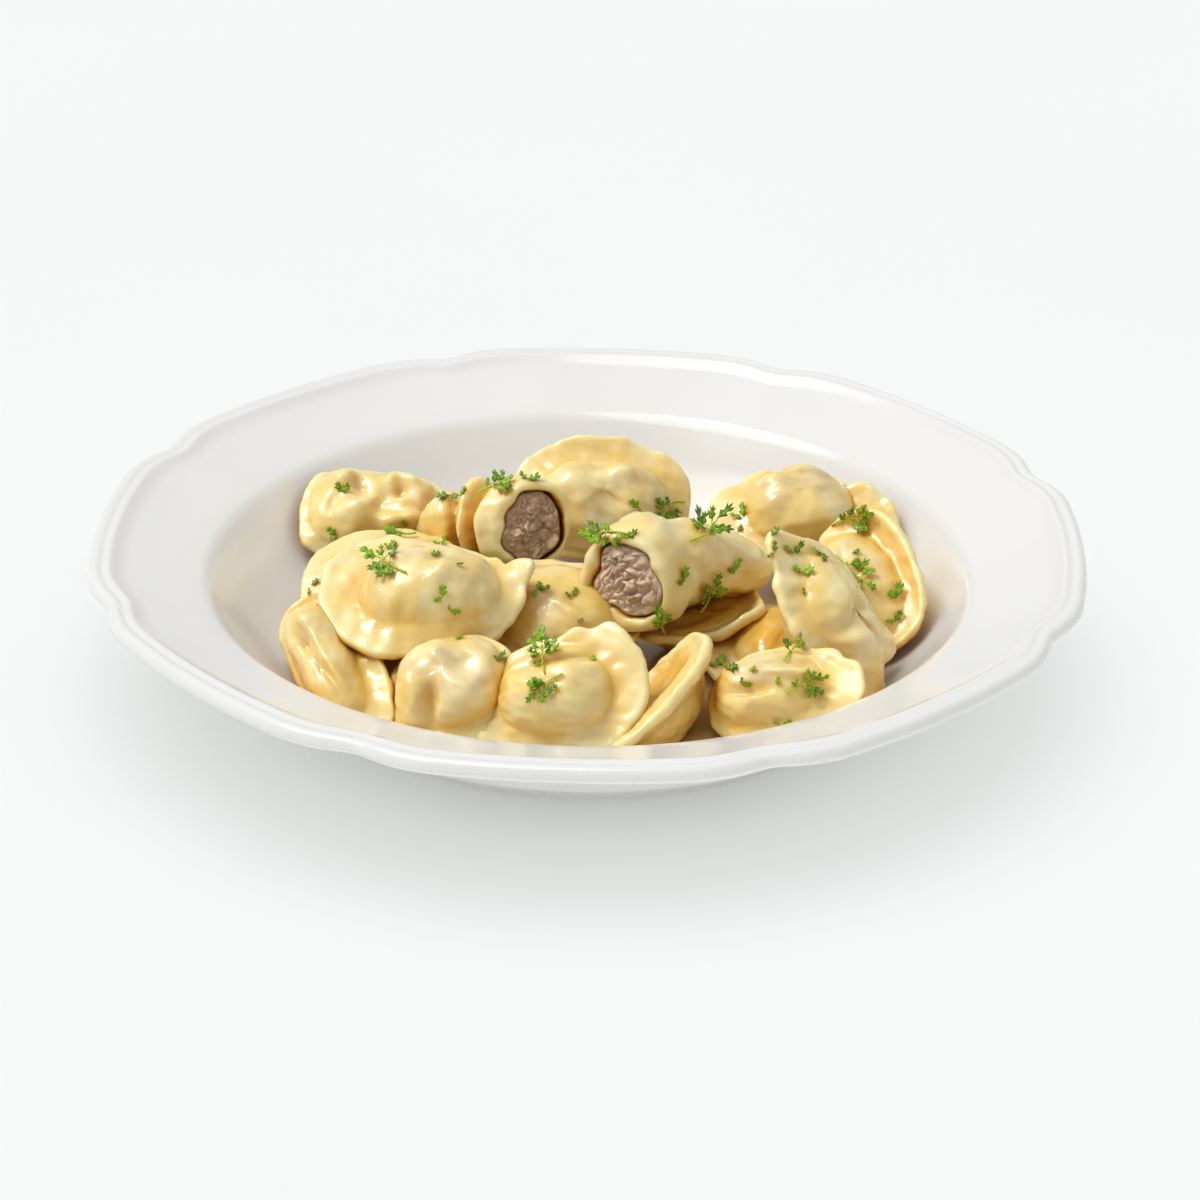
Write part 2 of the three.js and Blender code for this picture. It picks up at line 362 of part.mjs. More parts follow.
function pelmenMesh(p, grid) {
  const waveA = 4 + Math.floor(3 * chance(p.seed, 41));
  const waveB = 7 + Math.floor(4 * chance(p.seed, 42));
  const phaseA = 6.283 * chance(p.seed, 43);
  const phaseB = 6.283 * chance(p.seed, 44);
  const power = 2 / (p.square ?? 2.2);
  const edge = [];
  for (let j = 0; j < grid.seg; j += 1) {
    const t = (j * 2 * Math.PI) / grid.seg;
    const deg = (j * 360) / grid.seg;
    const c = Math.cos(t);
    const s = Math.sin(t);
    const body = p.body ? around(deg, p.body, 1) : 1;
    const width = around(deg, p.rim, 1);
    const flat = smooth(clamp((width - 0.6) / 3.4, 0, 1));
    const waves = Math.sin(waveA * t + phaseA) * 0.7 + Math.sin(waveB * t + phaseB) * 0.3;
    const wobbles = Math.sin(waveA * t + phaseB) * 0.5 + Math.sin((waveB + 2) * t + phaseA) * 0.25;
    const foot = 0.35 + around(deg, p.soft ?? SOFT, 1);
    edge.push({
      x: p.halfLong * Math.sign(c) * Math.abs(c) ** power * body,
      y: p.halfWide * Math.sign(s) * Math.abs(s) ** power * body,
      out: new THREE.Vector2(p.halfWide * c, p.halfLong * s).normalize(),
      width: width + (p.wobble ?? 0.6) * wobbles * clamp(width / 5, 0.1, 1),
      lift: around(deg, p.rim, 2) + (p.ruffle ?? 0.5) * waves * clamp(width / 5, 0.15, 1),
      half: (RIM_EDGE / 2) * (p.thick ? around(deg, p.thick, 1) : 1),
      foot: 4 * foot * foot * flat + 0.1,
      flat,
    });
  }
  const domePoint = (e, share, sign) => {
    const x = e.x * share;
    const y = e.y * share;
    const height = sign > 0 ? p.rise : p.drop;
    const swell = height * Math.max(1 - share ** (2.2 + 0.8 * e.flat), 0) ** (0.52 + 0.26 * e.flat);
    const rough = (p.lump ?? 0.5) * lumps(x, y, p.seed + (sign > 0 ? 0 : 3)) * (1 - share ** 4);
    const raised = swell + rough + (sign > 0 ? dimples(x, y, p.marks ?? []) : 0);
    const hollow = sign > 0 ? (p.dish ?? 0) * (1 - share ** 2) : 0;
    return [x, y, sign * (e.half + (raised + Math.sqrt(raised * raised + e.foot)) / 2) - hollow];
  };
  const rimPoint = (e, up, out) => {
    const reach = e.width + out * e.half;
    return [e.x + e.out.x * reach, e.y + e.out.y * reach, e.lift + up * e.half];
  };
  const rows = [];
  for (const share of grid.top) rows.push(edge.map((e) => domePoint(e, share, 1)));
  rows.push(edge.map((e) => rimPoint(e, 0.95, 0)));
  rows.push(edge.map((e) => rimPoint(e, 0, 0.85)));
  rows.push(edge.map((e) => rimPoint(e, -0.95, 0)));
  for (const share of [...grid.low].reverse()) rows.push(edge.map((e) => domePoint(e, share, -1)));
  const flat = [domePoint(edge[0], 0, 1), ...rows.flat(), domePoint(edge[0], 0, -1)];
  return { points: flat.map((q) => placed(q, p)), faces: ringFaces(rows.length, grid.seg) };
}

// From the piece's own axes to the plate's.
function placed([x0, y, z0], p) {
  const [x, z] = bent(x0, z0, p.arch ?? 0);
  const up = unit(p.up);
  const rim = unit(p.rimTo);
  rim.addScaledVector(up, -rim.dot(up)).normalize();
  const side = new THREE.Vector3().crossVectors(rim, up);
  const point = new THREE.Vector3(...p.at).addScaledVector(side, x);
  return point.addScaledVector(rim, y).addScaledVector(up, z);
}

// ---- a pelmen cut across: a cup of dough open at the cut, filled with mince ----
const CUP = { seg: 16, out: 8, into: 3, face: 3 };
const CAVITY = 0.8;

function cutRing(p, s, inset, x) {
  const blunt = Math.max(1 - s ** (p.blunt ?? 2.6), 0) ** 0.5;
  const mouth = 1 - 0.05 * (1 - Math.min(s / 0.12, 1)) ** 2;
  const ring = [];
  for (let j = 0; j < CUP.seg; j += 1) {
    const phi = (j * 2 * Math.PI) / CUP.seg;
    const deg = (j * 360) / CUP.seg;
    let grow = 0;
    for (const [where, share, wide, deep, amount] of p.bulges ?? []) {
      const off = ((((deg - where + 180) % 360) + 360) % 360) - 180;
      grow += amount * Math.exp(-((off / wide) ** 2) - ((s - share) / deep) ** 2);
    }
    for (const [share, deep, amount] of p.pleats ?? []) {
      grow += amount * Math.exp(-(((s - share) / deep) ** 2));
    }
    grow += (p.lump ?? 0.5) * lumps(phi * 12, x * 1.3, p.seed) * Math.min(1, 4 * s);
    const wall = inset === null ? 0 : inset(deg);
    const y = (p.halfWide + grow) * blunt * mouth - wall;
    const z = (p.halfHigh * (1 - (p.taper ?? 0) * s) + grow) * blunt * mouth - wall;
    ring.push([x, Math.cos(phi) * Math.max(y, 0.2), Math.sin(phi) * Math.max(z, 0.2)]);
  }
  return ring;
}

function innerRing(p, k, gap) {
  const s = CAVITY * Math.sin(((Math.PI / 2) * k) / (CUP.into + 1));
  const narrow = (1 - (s / CAVITY) ** 3) ** 0.5;
  const ring = cutRing(p, s, (deg) => around(deg, p.wall, 1) + gap, s * p.long);
  return ring.map(([x, y, z]) => [x, y * narrow, z * narrow]);
}

function cutPlaced([x0, y0, z], p) {
  const [x, y] = bent(x0, y0, p.curl);
  const axis = unit(p.axis);
  const up = unit(p.up);
  up.addScaledVector(axis, -up.dot(axis)).normalize();
  const side = new THREE.Vector3().crossVectors(up, axis);
  const point = new THREE.Vector3(...p.at).addScaledVector(axis, x);
  return point.addScaledVector(side, y).addScaledVector(up, z);
}

function cutDoughMesh(p) {
  const rows = [];
  for (let k = CUP.out - 1; k > 0; k -= 1) {
    const s = Math.sin(((Math.PI / 2) * k) / CUP.out);
    rows.push(cutRing(p, s, null, s * p.long));
  }
  rows.push(cutRing(p, 0, null, 0));
  for (const [back, share] of [[-0.5, 0.45], [0, 0.92]]) {
    rows.push(cutRing(p, 0, (deg) => around(deg, p.wall, 1) * share, back));
  }
  for (let k = 1; k <= CUP.into; k += 1) rows.push(innerRing(p, k, 0));
  const flat = [[p.long, 0, 0], ...rows.flat(), [CAVITY * p.long, 0, 0]];
  return { points: flat.map((q) => cutPlaced(q, p)), faces: ringFaces(rows.length, CUP.seg) };
}

function mincePlug(p) {
  const rows = [];
  for (let k = CUP.into; k > 0; k -= 1) rows.push(innerRing(p, k, GAP));
  const base = cutRing(p, 0, (deg) => around(deg, p.wall, 1) + GAP, 0);
  for (let k = CUP.face; k > 0; k -= 1) {
    const share = k / CUP.face;
    rows.push(base.map(([x, y0, z0]) => {
      const y = y0 * share ** 0.9;
      const z = z0 * share ** 0.9;
      const grain = FILLING_GRAIN * lumps(y, z, p.seed + 5, 7, 2.6, 6.5) * Math.min(1, (1 - share) * 5);
      return [x * share + 1 - FILLING_BULGE * (1 - share ** 2) - grain, y, z];
    }));
  }
  const flat = [[CAVITY * p.long - GAP, 0, 0], ...rows.flat(), [1 - FILLING_BULGE, 0, 0]];
  return { points: flat.map((q) => cutPlaced(q, p)), faces: ringFaces(rows.length, CUP.seg) };
}

// ---- cut every piece clear of those that press on it ----
const [plateSolid, plateClear] = solids(plateMesh(), GAP);
const pieces = [];

// Merging small triangles moves a face a little, so the piece is cut clear once more.
function clearOfAll(made) {
  let left = made;
  for (const other of pieces) {
    if (boxesMeet(left, other.clear)) left = left.subtract(other.made);
  }
  return main(left);
}

function addPiece(name, mesh, material) {
  const [whole, clear] = solids(mesh, GAP);
  let made = whole.subtract(plateClear);
  for (const other of pieces) {
    if (boxesMeet(made, other.clear)) made = made.subtract(other.clear);
  }
  pieces.push({ name, made: clearOfAll(main(made).simplify(DOUGH_DETAIL)), clear, material });
}

for (const name of KEPT_FIRST) {
  const cut = CUT.find((p) => p.name === name);
  const whole = WHOLE.find((p) => p.name === name);
  if (cut) {
    addPiece(name, cutDoughMesh(cut), dough);
    addPiece(name.replace('pelmen_cut', 'mince'), mincePlug(cut), mince);
  } else {
    addPiece(name, pelmenMesh(whole, whole.covered ? COVERED : SHOWN), dough);
  }
}

// ---- parsley, laid on what the eye sees ----
const eye = new THREE.Vector3(...EYE);
const viewUp = new THREE.Vector3(0, EYE[2] - PLATE_HEIGHT, -EYE[1]).normalize();
const targets = pieces.map((piece) => {
  const bare = new THREE.MeshBasicMaterial({ side: THREE.DoubleSide });
  const mesh = new THREE.Mesh(geometryOf(piece.made), bare);
  mesh.userData.piece = piece;
  return mesh;
});
const caster = new THREE.Raycaster();

// The point seen at (across, up) on the plane that faces the eye through the middle of the rim.
function seen(across, up) {
  const through = new THREE.Vector3(across, 0, PLATE_HEIGHT).addScaledVector(viewUp, up);
  const ray = through.sub(eye).normalize();
  caster.set(eye, ray);
  const hit = caster.intersectObjects(targets)[0];
  if (!hit) return { ray };
  return { point: hit.point, normal: hit.face.normal.clone(), piece: hit.object.userData.piece, ray };
}

// A thin flake or leaf over the seen surface: a fan of outline points, top and bottom alike.
function leafMesh([across, up, radius, turn], outline, low, high) {
  const middle = seen(across, up);
  if (!middle.point) return null;
  const ring = outline.map(([deg, share]) => {
    const a = rad(deg + turn);
    return seen(across + radius * share * Math.cos(a), up + radius * share * Math.sin(a));
  });
  const normal = middle.normal.clone();
  for (const spot of ring) if (spot.piece === middle.piece) normal.add(spot.normal);
  normal.normalize();
  const lifted = normal.clone().addScaledVector(middle.ray, -0.5).normalize();
  const base = new THREE.Plane().setFromNormalAndCoplanarPoint(lifted, middle.point);
  const spots = ring.map((spot) => {
    const flat = new THREE.Ray(eye, spot.ray).intersectPlane(base, new THREE.Vector3());
    if (!spot.point) return flat;
    return spot.point.distanceTo(flat) < radius * 0.6 ? spot.point : flat;
  });
  const n = spots.length;
  const raised = (p, by) => p.clone().addScaledVector(lifted, by);
  const points = [raised(middle.point, high), ...spots.map((p) => raised(p, high)),
    ...spots.map((p) => raised(p, low)), raised(middle.point, low)];
  return { mesh: { points, faces: ringFaces(2, n) }, piece: middle.piece };
}

const FIVE_TIPS = Array.from({ length: 10 }, (_, k) => [k * 36, k % 2 ? 0.42 : 1 - 0.12 * (k % 4)]);
const KITE = [[0, 1], [100, 0.5], [180, 0.8], [250, 0.55]];

for (const flake of FLAKES) {
  const made = leafMesh(flake, KITE, -FLAKE_SUNK, FLAKE_HIGH);
  if (made) {
    let [chip] = solids(made.mesh, GAP);
    for (const other of pieces) {
      if (other !== made.piece && boxesMeet(chip, other.clear)) chip = chip.subtract(other.clear);
    }
    made.piece.made = main(made.piece.made.add(chip));
  }
}

const sprigs = [];
for (const spot of SPRIGS) {
  const made = leafMesh(spot, FIVE_TIPS, SPRIG_CLEAR, SPRIG_CLEAR + SPRIG_THICK);
  if (made) {
    let [leaf, clear] = solids(made.mesh, 0.3);
    for (const other of pieces) {
      if (boxesMeet(leaf, other.clear)) leaf = leaf.subtract(other.clear).subtract(other.made);
    }
    for (const other of sprigs) leaf = leaf.subtract(other.clear);
    sprigs.push({ made: clearOfAll(main(leaf).simplify(SPRIG_DETAIL)), clear });
  }
}

// ---- the group ----
const root = new THREE.Group();
root.name = 'plate_of_pelmeni';

function addMesh(name, made, material) {
  const mesh = new THREE.Mesh(geometryOf(made), material);
  mesh.name = name;
  root.add(mesh);
}

addMesh('plate', plateSolid, porcelain);
for (const piece of pieces) addMesh(piece.name, piece.made, piece.material);
sprigs.forEach((sprig, k) => addMesh(`parsley_${String(k + 1).padStart(2, '0')}`, sprig.made, herb));

export default root;
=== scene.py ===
"""A deep white plate of boiled pelmeni with chopped parsley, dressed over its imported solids."""
import math

import bpy
import numpy as np
from mathutils import Matrix, Vector
from mathutils.bvhtree import BVHTree


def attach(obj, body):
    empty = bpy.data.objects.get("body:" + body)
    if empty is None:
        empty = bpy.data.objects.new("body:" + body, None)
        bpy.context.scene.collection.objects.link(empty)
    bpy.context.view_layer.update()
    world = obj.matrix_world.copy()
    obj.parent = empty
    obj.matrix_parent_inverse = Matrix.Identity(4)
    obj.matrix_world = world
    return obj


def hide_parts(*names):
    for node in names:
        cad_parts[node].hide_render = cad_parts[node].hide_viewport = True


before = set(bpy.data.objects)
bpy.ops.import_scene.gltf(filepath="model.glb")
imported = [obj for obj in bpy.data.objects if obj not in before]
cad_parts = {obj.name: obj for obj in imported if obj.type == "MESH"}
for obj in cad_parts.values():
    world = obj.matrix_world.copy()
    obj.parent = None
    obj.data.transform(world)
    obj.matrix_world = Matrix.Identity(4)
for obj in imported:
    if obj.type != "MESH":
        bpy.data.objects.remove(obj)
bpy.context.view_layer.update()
MM = 0.001

# ---- the view: the eye stands before the plate and looks down at the middle of its rim ----
EYE_DISTANCE = 0.900
EYE_ANGLE = math.radians(25)
EYE_ROLL = math.radians(0.56)
RIM_HEIGHT = 0.036
SENSOR = 36.0
LENS = 111.78
AIM_ACROSS = 0.00305          # how far the view's middle lies right of the rim's middle, as a slope
AIM_BELOW = 0.01809

# ---- the plate, in mm ----
PLATE_RADIUS = 120
LOBES = 8
FIRST_NOTCH = 19.6            # degrees from +X
NOTCH_DEPTH = 1.5
SHOULDER = 0.8
LOBE_FLAT = 0.6
SCALLOP_FROM = 96
SCALLOP_FULL = 117
PLATE_TOP = [
    (120, 34), (119.6, 35.2), (118.3, 36), (117.3, 35.8), (116.7, 35.4), (115.9, 35.7), (115.2, 36),
    (114.2, 35.6), (113.3, 34.6), (110, 33.2), (104, 31.3), (98, 29.2), (94, 28), (92.5, 27.2), (91, 25.5),
    (86, 19), (82.5, 14.8), (79, 11.5), (75.5, 8.9), (72, 7.2), (68, 6.1), (64, 5.6), (50, 5.3), (30, 5.1)]
PLATE_LOW = [
    (60, 2.4), (61.5, 0.4), (62.5, 0), (67.5, 0), (69, 0.8), (70.5, 4), (76, 6), (84, 11.5), (91, 19.5),
    (97, 24), (105, 27.3), (113, 29.8), (117, 31.2), (119.3, 32.2), (120, 33.2)]
BOWL_RADIUS = 92              # within it the glaze is painted with warm brown shade where the food hems it in
# the glaze is painted with dark brown shade under the heap, within these bounds
UNDER_HEAP_RADIUS = 75
UNDER_HEAP_BACK = 42

# ---- the pelmeni, in mm: `at` is the middle of the seam plane, `up` its normal, `rim_to` the local y ----
# rim: (degrees, width, lift); soft: (degrees, how widely the dome runs out into the rim); thick:
# (degrees, times the usual edge); body: (degrees, times the usual outline); marks: (x, y, rx, ry, turn,
# amount) on the upper face; dish: how far that face is hollowed; lump: unevenness; ruffle and wobble:
# waves of the rim, up and out; tint: how much the filling shows; painted_shade_honey: how much painted
# golden shade lies on the upper face of a piece that sits in shadow; wet: how shiny it is.
RIM_EDGE = 2.5
WHOLE = {
    "back_left": dict(
        at=(-54, 42.5, 20), up=(0.1, -0.45, 0.9), rim_to=(0, 1, 0.3), half_long=17, half_wide=12,
        rise=8.5, drop=10, square=3.2, seed=11, lump=0.8, ruffle=0.5, tint=0.1,
        rim=[(0, 1.2, 0), (60, 1.5, 0), (120, 2, 0), (170, 1.5, 0), (215, 2, -1), (270, 0.8, 0)],
        marks=[(-5, 3, 2.0, 3.4, 30, -2.0), (0.5, -3, 1.8, 3.2, -20, -2.2), (5.5, 3, 1.8, 3, 10, -2.2),
            (9.5, -7, 4.5, 2.4, 10, 2.6), (9, 5.5, 3.6, 3.0, 0, 2.6), (-9, 6, 3.6, 3, 0, 2.2),
            (-6, -5, 3.0, 2.4, 0, 2.0), (3.5, -8, 2, 2.4, 0, 1.6), (-11, -2, 1.8, 3, 0, -1.8),
            (0, 8.5, 2, 3, 0, -1.8), (6, -2, 1.8, 1.8, 0, 1.4)]),
    "back": dict(
        at=(3, 53, 19.6), up=(0.05, -0.72, 0.7), rim_to=(0.0, 0.7, 0.72), half_long=16.5, half_wide=10.5,
        rise=10, drop=9, body=[(0, 1), (90, 1), (180, 1), (270, 1.3)], seed=13, arch=0.006, tint=0.6,
        square=2.5, soft=[(0, 2.0), (90, 1.2), (180, 2.0), (270, 1.0)],
        marks=[(-1.5, 7.5, 3, 2.6, 0, -1.5), (6, 6, 5, 3.5, 0, 1.4), (-8, 3, 4, 5, 0, 1.0)],
        rim=[(0, 6, 0), (50, 6, 1), (90, 6.3, 1.5), (130, 6.5, 1), (180, 6, 0), (270, 0.8, 0)]),
    "back_right": dict(
        at=(53, 39, 22.6), up=(0.1, -0.4, 0.92), rim_to=(0, 1, 0.3), half_long=14, half_wide=11.5,
        rise=10, drop=11, seed=15, tint=0.75, square=2.5, lump=0.35,
        marks=[(0.5, 10.5, 6.5, 4.0, 0, 3.4), (0, 5.2, 7, 1.4, 0, -0.9), (-9, 4, 3.5, 3, 0, 1.2)],
        soft=[(0, 0.8), (90, 0.7), (180, 1.6), (225, 0.5), (280, 0.8)],
        rim=[(0, 1.5, 0), (60, 2, 1), (110, 2.6, 0.6), (150, 4, 0), (175, 7.5, -1), (192, 10.5, -1.5),
            (212, 9, -1), (235, 6.5, -0.5), (260, 5, 0), (300, 4, 0)]),
    "right": dict(
        at=(67.5, 4.5, 19), up=(-0.45, -0.5, 0.74), rim_to=(0.9, 0.1, 0.6), half_long=16, half_wide=9.5,
        rise=7.5, drop=11, seed=16, ruffle=0.4, wet=0.35, tint=0.7, lump=0.8,
        thick=[(0, 1), (90, 1.35), (180, 1.1), (270, 1)],
        soft=[(0, 1.2), (90, 0.4), (180, 1.2), (270, 1.5)],
        marks=[(2, 0, 4, 3, 0, -1.4), (-5, 2, 4, 3, 30, 1.4), (6, -2, 5, 3, 0, 1.2)],
        rim=[(0, 5, 2), (30, 5, 2.5), (60, 4.5, 2.5), (90, 5, 3), (120, 5.5, 3.5), (160, 5, 3),
            (185, 4, 1), (215, 1, 0), (270, 0.8, 0)]),
    "draped": dict(
        at=(58.3, -24.8, 25.6), up=(0.55, -0.5, 0.67), rim_to=(0.664, 0.75, 0.015), half_long=15.5,
        half_wide=9.5, rise=5.5, drop=12, seed=17, tint=0.4, square=2.1, lump=0.25, ruffle=0.15,
        wobble=0.2, marks=[(3, -3, 2.6, 7, 20, -0.9), (-6, 3, 6, 3, -30, 0.7)],
        body=[(0, 1), (160, 1), (213, 0.86), (262, 1), (330, 1)],
        soft=[(0, 2.4), (52, 2.2), (90, 1.6), (180, 1.6), (230, 1.4), (290, 1.2)],
        thick=[(0, 1), (90, 1), (195, 1.3), (260, 1.3), (310, 1)],
        rim=[(0, 4.5, 0), (27, 1.4, 0), (52, 5.6, -0.5), (86, 2.4, -0.5), (137, 3.2, 0), (171, 4.6, 1),
            (192, 11, 1.0), (218, 6.6, 1.0), (258, 4.6, 1.0), (291, 5, 0.6), (313, 5.4, 0),
            (343, 8.6, -1)]),
    "left_top": dict(
        at=(-37.8, -18, 26.9), up=(-0.02, -0.3, 0.95), rim_to=(0, 1, 0.3), half_long=16.5, half_wide=12.5,
        rise=10.5, drop=7, seed=18, arch=0.004, tint=0.5, ruffle=0.3, wobble=0.4, lump=0.35, square=2.5,
        marks=[(-8, 2, 3, 6, 20, 1.2), (3, 3, 5, 2, -20, -0.9), (6, -3, 4, 3, 0, 0.8)],
        soft=[(0, 2.4), (60, 1.2), (110, 0.5), (150, 0.1), (190, 0.1), (225, 0.8), (280, 2.0)],
        rim=[(0, 5.5, 2.5), (11, 7.5, 7), (30, 3, 2), (55, 3, 0.5), (90, 5.5, 0), (120, 8.5, 0.8),
            (150, 9.5, 1.6), (180, 9, 1.4), (205, 7.5, 0.2), (235, 7, -1), (270, 5, -2), (315, 3.5, -1.5),
            (345, 4, 0)]),
    "left_under": dict(
        at=(-48.8, 9, 18.2), up=(-0.1, -0.25, 0.96), rim_to=(0, 1, 0.3), half_long=15, half_wide=12,
        rise=6, drop=12, seed=19, tint=0.3, soft=[(0, 2), (180, 1.6)],
        rim=[(0, 4, 0), (60, 5, 0), (90, 5.5, 0.5), (122, 7.5, 0.5), (155, 6.5, 0), (180, 6.5, 0),
            (205, 6, 0), (235, 4, 0), (270, 1, 0)]),
    "left_edge": dict(
        at=(-60.4, -30.4, 13.6), up=(-0.38, -0.55, 0.74), rim_to=(0.78, 0.05, 0.62), half_long=17,
        half_wide=7, rise=7.5, drop=4, seed=20, tint=0.4, lump=0.5, ruffle=0.3, wobble=0.3, square=2.5,
        soft=[(0, 0.8), (90, 0.7), (150, 0.8), (270, 1.5)],
        thick=[(0, 0.9), (90, 0.95), (170, 1.5), (230, 1.2)],
        body=[(0, 1), (90, 1), (180, 1.05), (215, 1.2), (270, 1.05), (320, 1.05)],
        rim=[(0, 4.5, 0), (20, 6.5, -0.5), (45, 5, 0), (90, 4.2, 0.8), (130, 4, 1.2), (160, 3.6, 1.4),
            (180, 2.4, 1), (215, 1.2, 0), (270, 0.8, 0), (330, 1.5, 0)],
        marks=[(-5, -1.5, 3.0, 1.8, 20, -2.0), (-12, 0, 4, 5, 0, 2.0), (7, -4, 5, 2.5, 20, 1.2),
            (2, 2.0, 9, 1.0, 8, 1.3), (4, -0.2, 7, 0.9, 12, -1.1)]),
    "front_left": dict(
        at=(-31.5, -41, 14.5), up=(-0.25, -0.55, 0.8), rim_to=(0, 1, 0.5), half_long=13.5, half_wide=12,
        rise=9, drop=9, seed=21, tint=0.85, square=2.5, lump=0.3, ruffle=0.3, soft=[(0, 1.2), (180, 1.2)],
        rim=[(0, 0.8, 0), (90, 0.8, 0), (180, 1.5, 0), (215, 5, 0), (250, 3, 0), (290, 3, 0)],
        marks=[(-4, -8, 2.0, 6.5, -15, -3.8), (4.5, 3, 3, 8, 12, -1.1), (-9, -1, 2.6, 7, 20, 2.0),
            (6.5, -6, 4, 5, 0, 1.0), (-1.5, 4, 2.4, 6, 25, 1.3), (-9, -9, 3, 2.5, 0, 1.5)]),
    "front": dict(
        at=(-7, -49, 16.7), up=(-0.2, -0.66, 0.72), rim_to=(0, 0.7, 0.7), half_long=13.5, half_wide=10.5,
        rise=8.5, drop=6, seed=22, tint=0.15, lump=0.35, ruffle=0.35, wobble=0.4, square=2.3,
        marks=[(2.5, 7.0, 9, 1.5, 12, -3.0), (4.5, 10.2, 8, 2.0, 10, 1.4), (-7, 0, 4, 6, 15, 1.0),
            (4, -2, 5, 4, 0, 0.7)],
        soft=[(0, 0.2), (45, 0.4), (90, 0.7), (180, 1.4), (250, 1.4), (320, 0.4)],
        thick=[(0, 1.25), (60, 1.2), (120, 1.0), (200, 1.1), (330, 1.3)],
        rim=[(0, 7, 0.4), (30, 8, 1), (52, 8.5, 1), (72, 5.5, 0.5), (100, 2.8, 0), (150, 2.4, 0),
            (190, 4, 0), (207, 7.5, 0), (222, 5, 0), (240, 3, 0), (280, 2.4, 0), (325, 6, 0.4)]),
    "front_folded": dict(
        at=(15.2, -44.5, 13.5), up=(-0.55, 0.07, 0.83), rim_to=(0.63, -0.61, 0.47), half_long=15.8,
        half_wide=8, rise=0.6, drop=9, seed=23, painted_shade_honey=0.85, tint=0.1, ruffle=0.15, wobble=0.2, lump=0.1,
        dish=3.0, soft=[(0, 0.9), (90, 0.9), (180, 0.9), (270, 0.9)],
        thick=[(0, 1.1), (90, 1.45), (150, 1.35), (180, 1.5), (215, 1.0), (300, 0.9)],
        rim=[(0, 4, 0.5), (60, 3.4, 1.0), (90, 3.2, 1.4), (130, 3.6, 1.8), (165, 4.5, 2.2), (180, 5, 2.4),
            (200, 3.5, 1.5), (240, 4, 0), (270, 4, 0), (310, 4, 0)]),
    "front_right": dict(
        at=(42.8, -44.5, 15.5), up=(-0.36, -0.48, 0.8), rim_to=(0, 1, 0.5), half_long=13.2, half_wide=9.5,
        rise=7.5, drop=8, seed=24, wet=0.2, tint=0.8, lump=0.5, ruffle=0.2, wobble=0.3,
        soft=[(0, 0.7), (90, 1.2), (180, 0.8), (290, 1.2), (340, 0.7)],
        rim=[(0, 9, 1.2), (20, 5, 0.5), (50, 2.5, 0), (120, 1.5, 0), (180, 1.5, 0), (225, 2.5, 0),
            (255, 4, -0.5), (290, 6.5, -1), (325, 8.5, -0.5), (347, 10, 0.8)],
        marks=[(9, -0.5, 7, 1.4, -4, 2.4), (9, 4.0, 5, 2.2, 0, -2.4), (-3, -2.6, 6, 1.2, -14, -2.4),
            (-8, 5, 4, 3, 0, 1.2), (0, -5.5, 6, 2.2, 10, 1.2)]),
    "middle": dict(
        at=(-8.5, -10, 18), up=(0.0, -0.3, 0.95), rim_to=(0, 1, 0.3), half_long=17.5, half_wide=14.5,
        rise=8, drop=11, seed=25, painted_shade_honey=0.15, tint=0.3, soft=[(0, 1.6), (180, 1.6)],
        rim=[(0, 3, 0), (90, 4, 0), (180, 3, 0), (270, 1.5, 0)],
        marks=[(3, -6, 8, 2, -30, 1.4), (-6, -7, 5, 3, 40, -1.2)]),
    "left_low": dict(
        at=(-43, -20.5, 11.5), up=(0.0, -0.1, 0.99), rim_to=(0, 1, 0), half_long=13, half_wide=12, rise=6,
        drop=5, seed=28, painted_shade_honey=0.7, tint=0.2, rim=[(0, 2, 0), (90, 3, 0), (180, 2, 0), (270, 1, 0)]),
    "under_right": dict(
        at=(24.5, -1, 15), up=(-0.05, -0.3, 0.95), rim_to=(0, 1, 0.3), half_long=12, half_wide=9,
        rise=1.5, drop=7, seed=29, painted_shade_honey=0.8, tint=0.1, dish=2.5, soft=[(0, 1.0), (180, 1.0)],
        thick=[(0, 1.2), (90, 1), (270, 1.4), (335, 1.7)], marks=[(0, -5, 6, 2, 20, -1.5)],
        rim=[(0, 4, 4), (60, 2, 0), (150, 2, 0), (200, 3, 1), (240, 4, 3.5), (280, 4.5, 4.2),
            (305, 4, 4.5), (325, 4.5, 5.5), (342, 6, 5.5)]),
    "right_low": dict(
        at=(49, -12, 8.6), up=(0.1, -0.3, 0.95), rim_to=(0, 1, 0.3), half_long=14.5, half_wide=13.5,
        rise=8, drop=8, seed=26, painted_shade_honey=0.9, tint=0.1, soft=[(0, 1.8), (180, 1.8)],
        rim=[(0, 4, 0), (90, 3, 0), (160, 5, 1), (200, 7, 1.5), (235, 3, 0), (270, 1, 0), (305, 7, -1)]),
    "right_corner": dict(
        at=(65, 33.5, 20), up=(-0.15, -0.45, 0.88), rim_to=(0, 1, 0.3), half_long=9, half_wide=7, rise=2,
        drop=7, seed=27, tint=0.2, ruffle=0.3, soft=[(0, 1.2), (180, 1.2)],
        rim=[(0, 4, 0), (40, 5, 1.5), (75, 7, 2.5), (100, 5.5, 1.5), (140, 2, 0), (180, 1, 0),
            (270, 1, 0), (330, 3, 0)]),
}

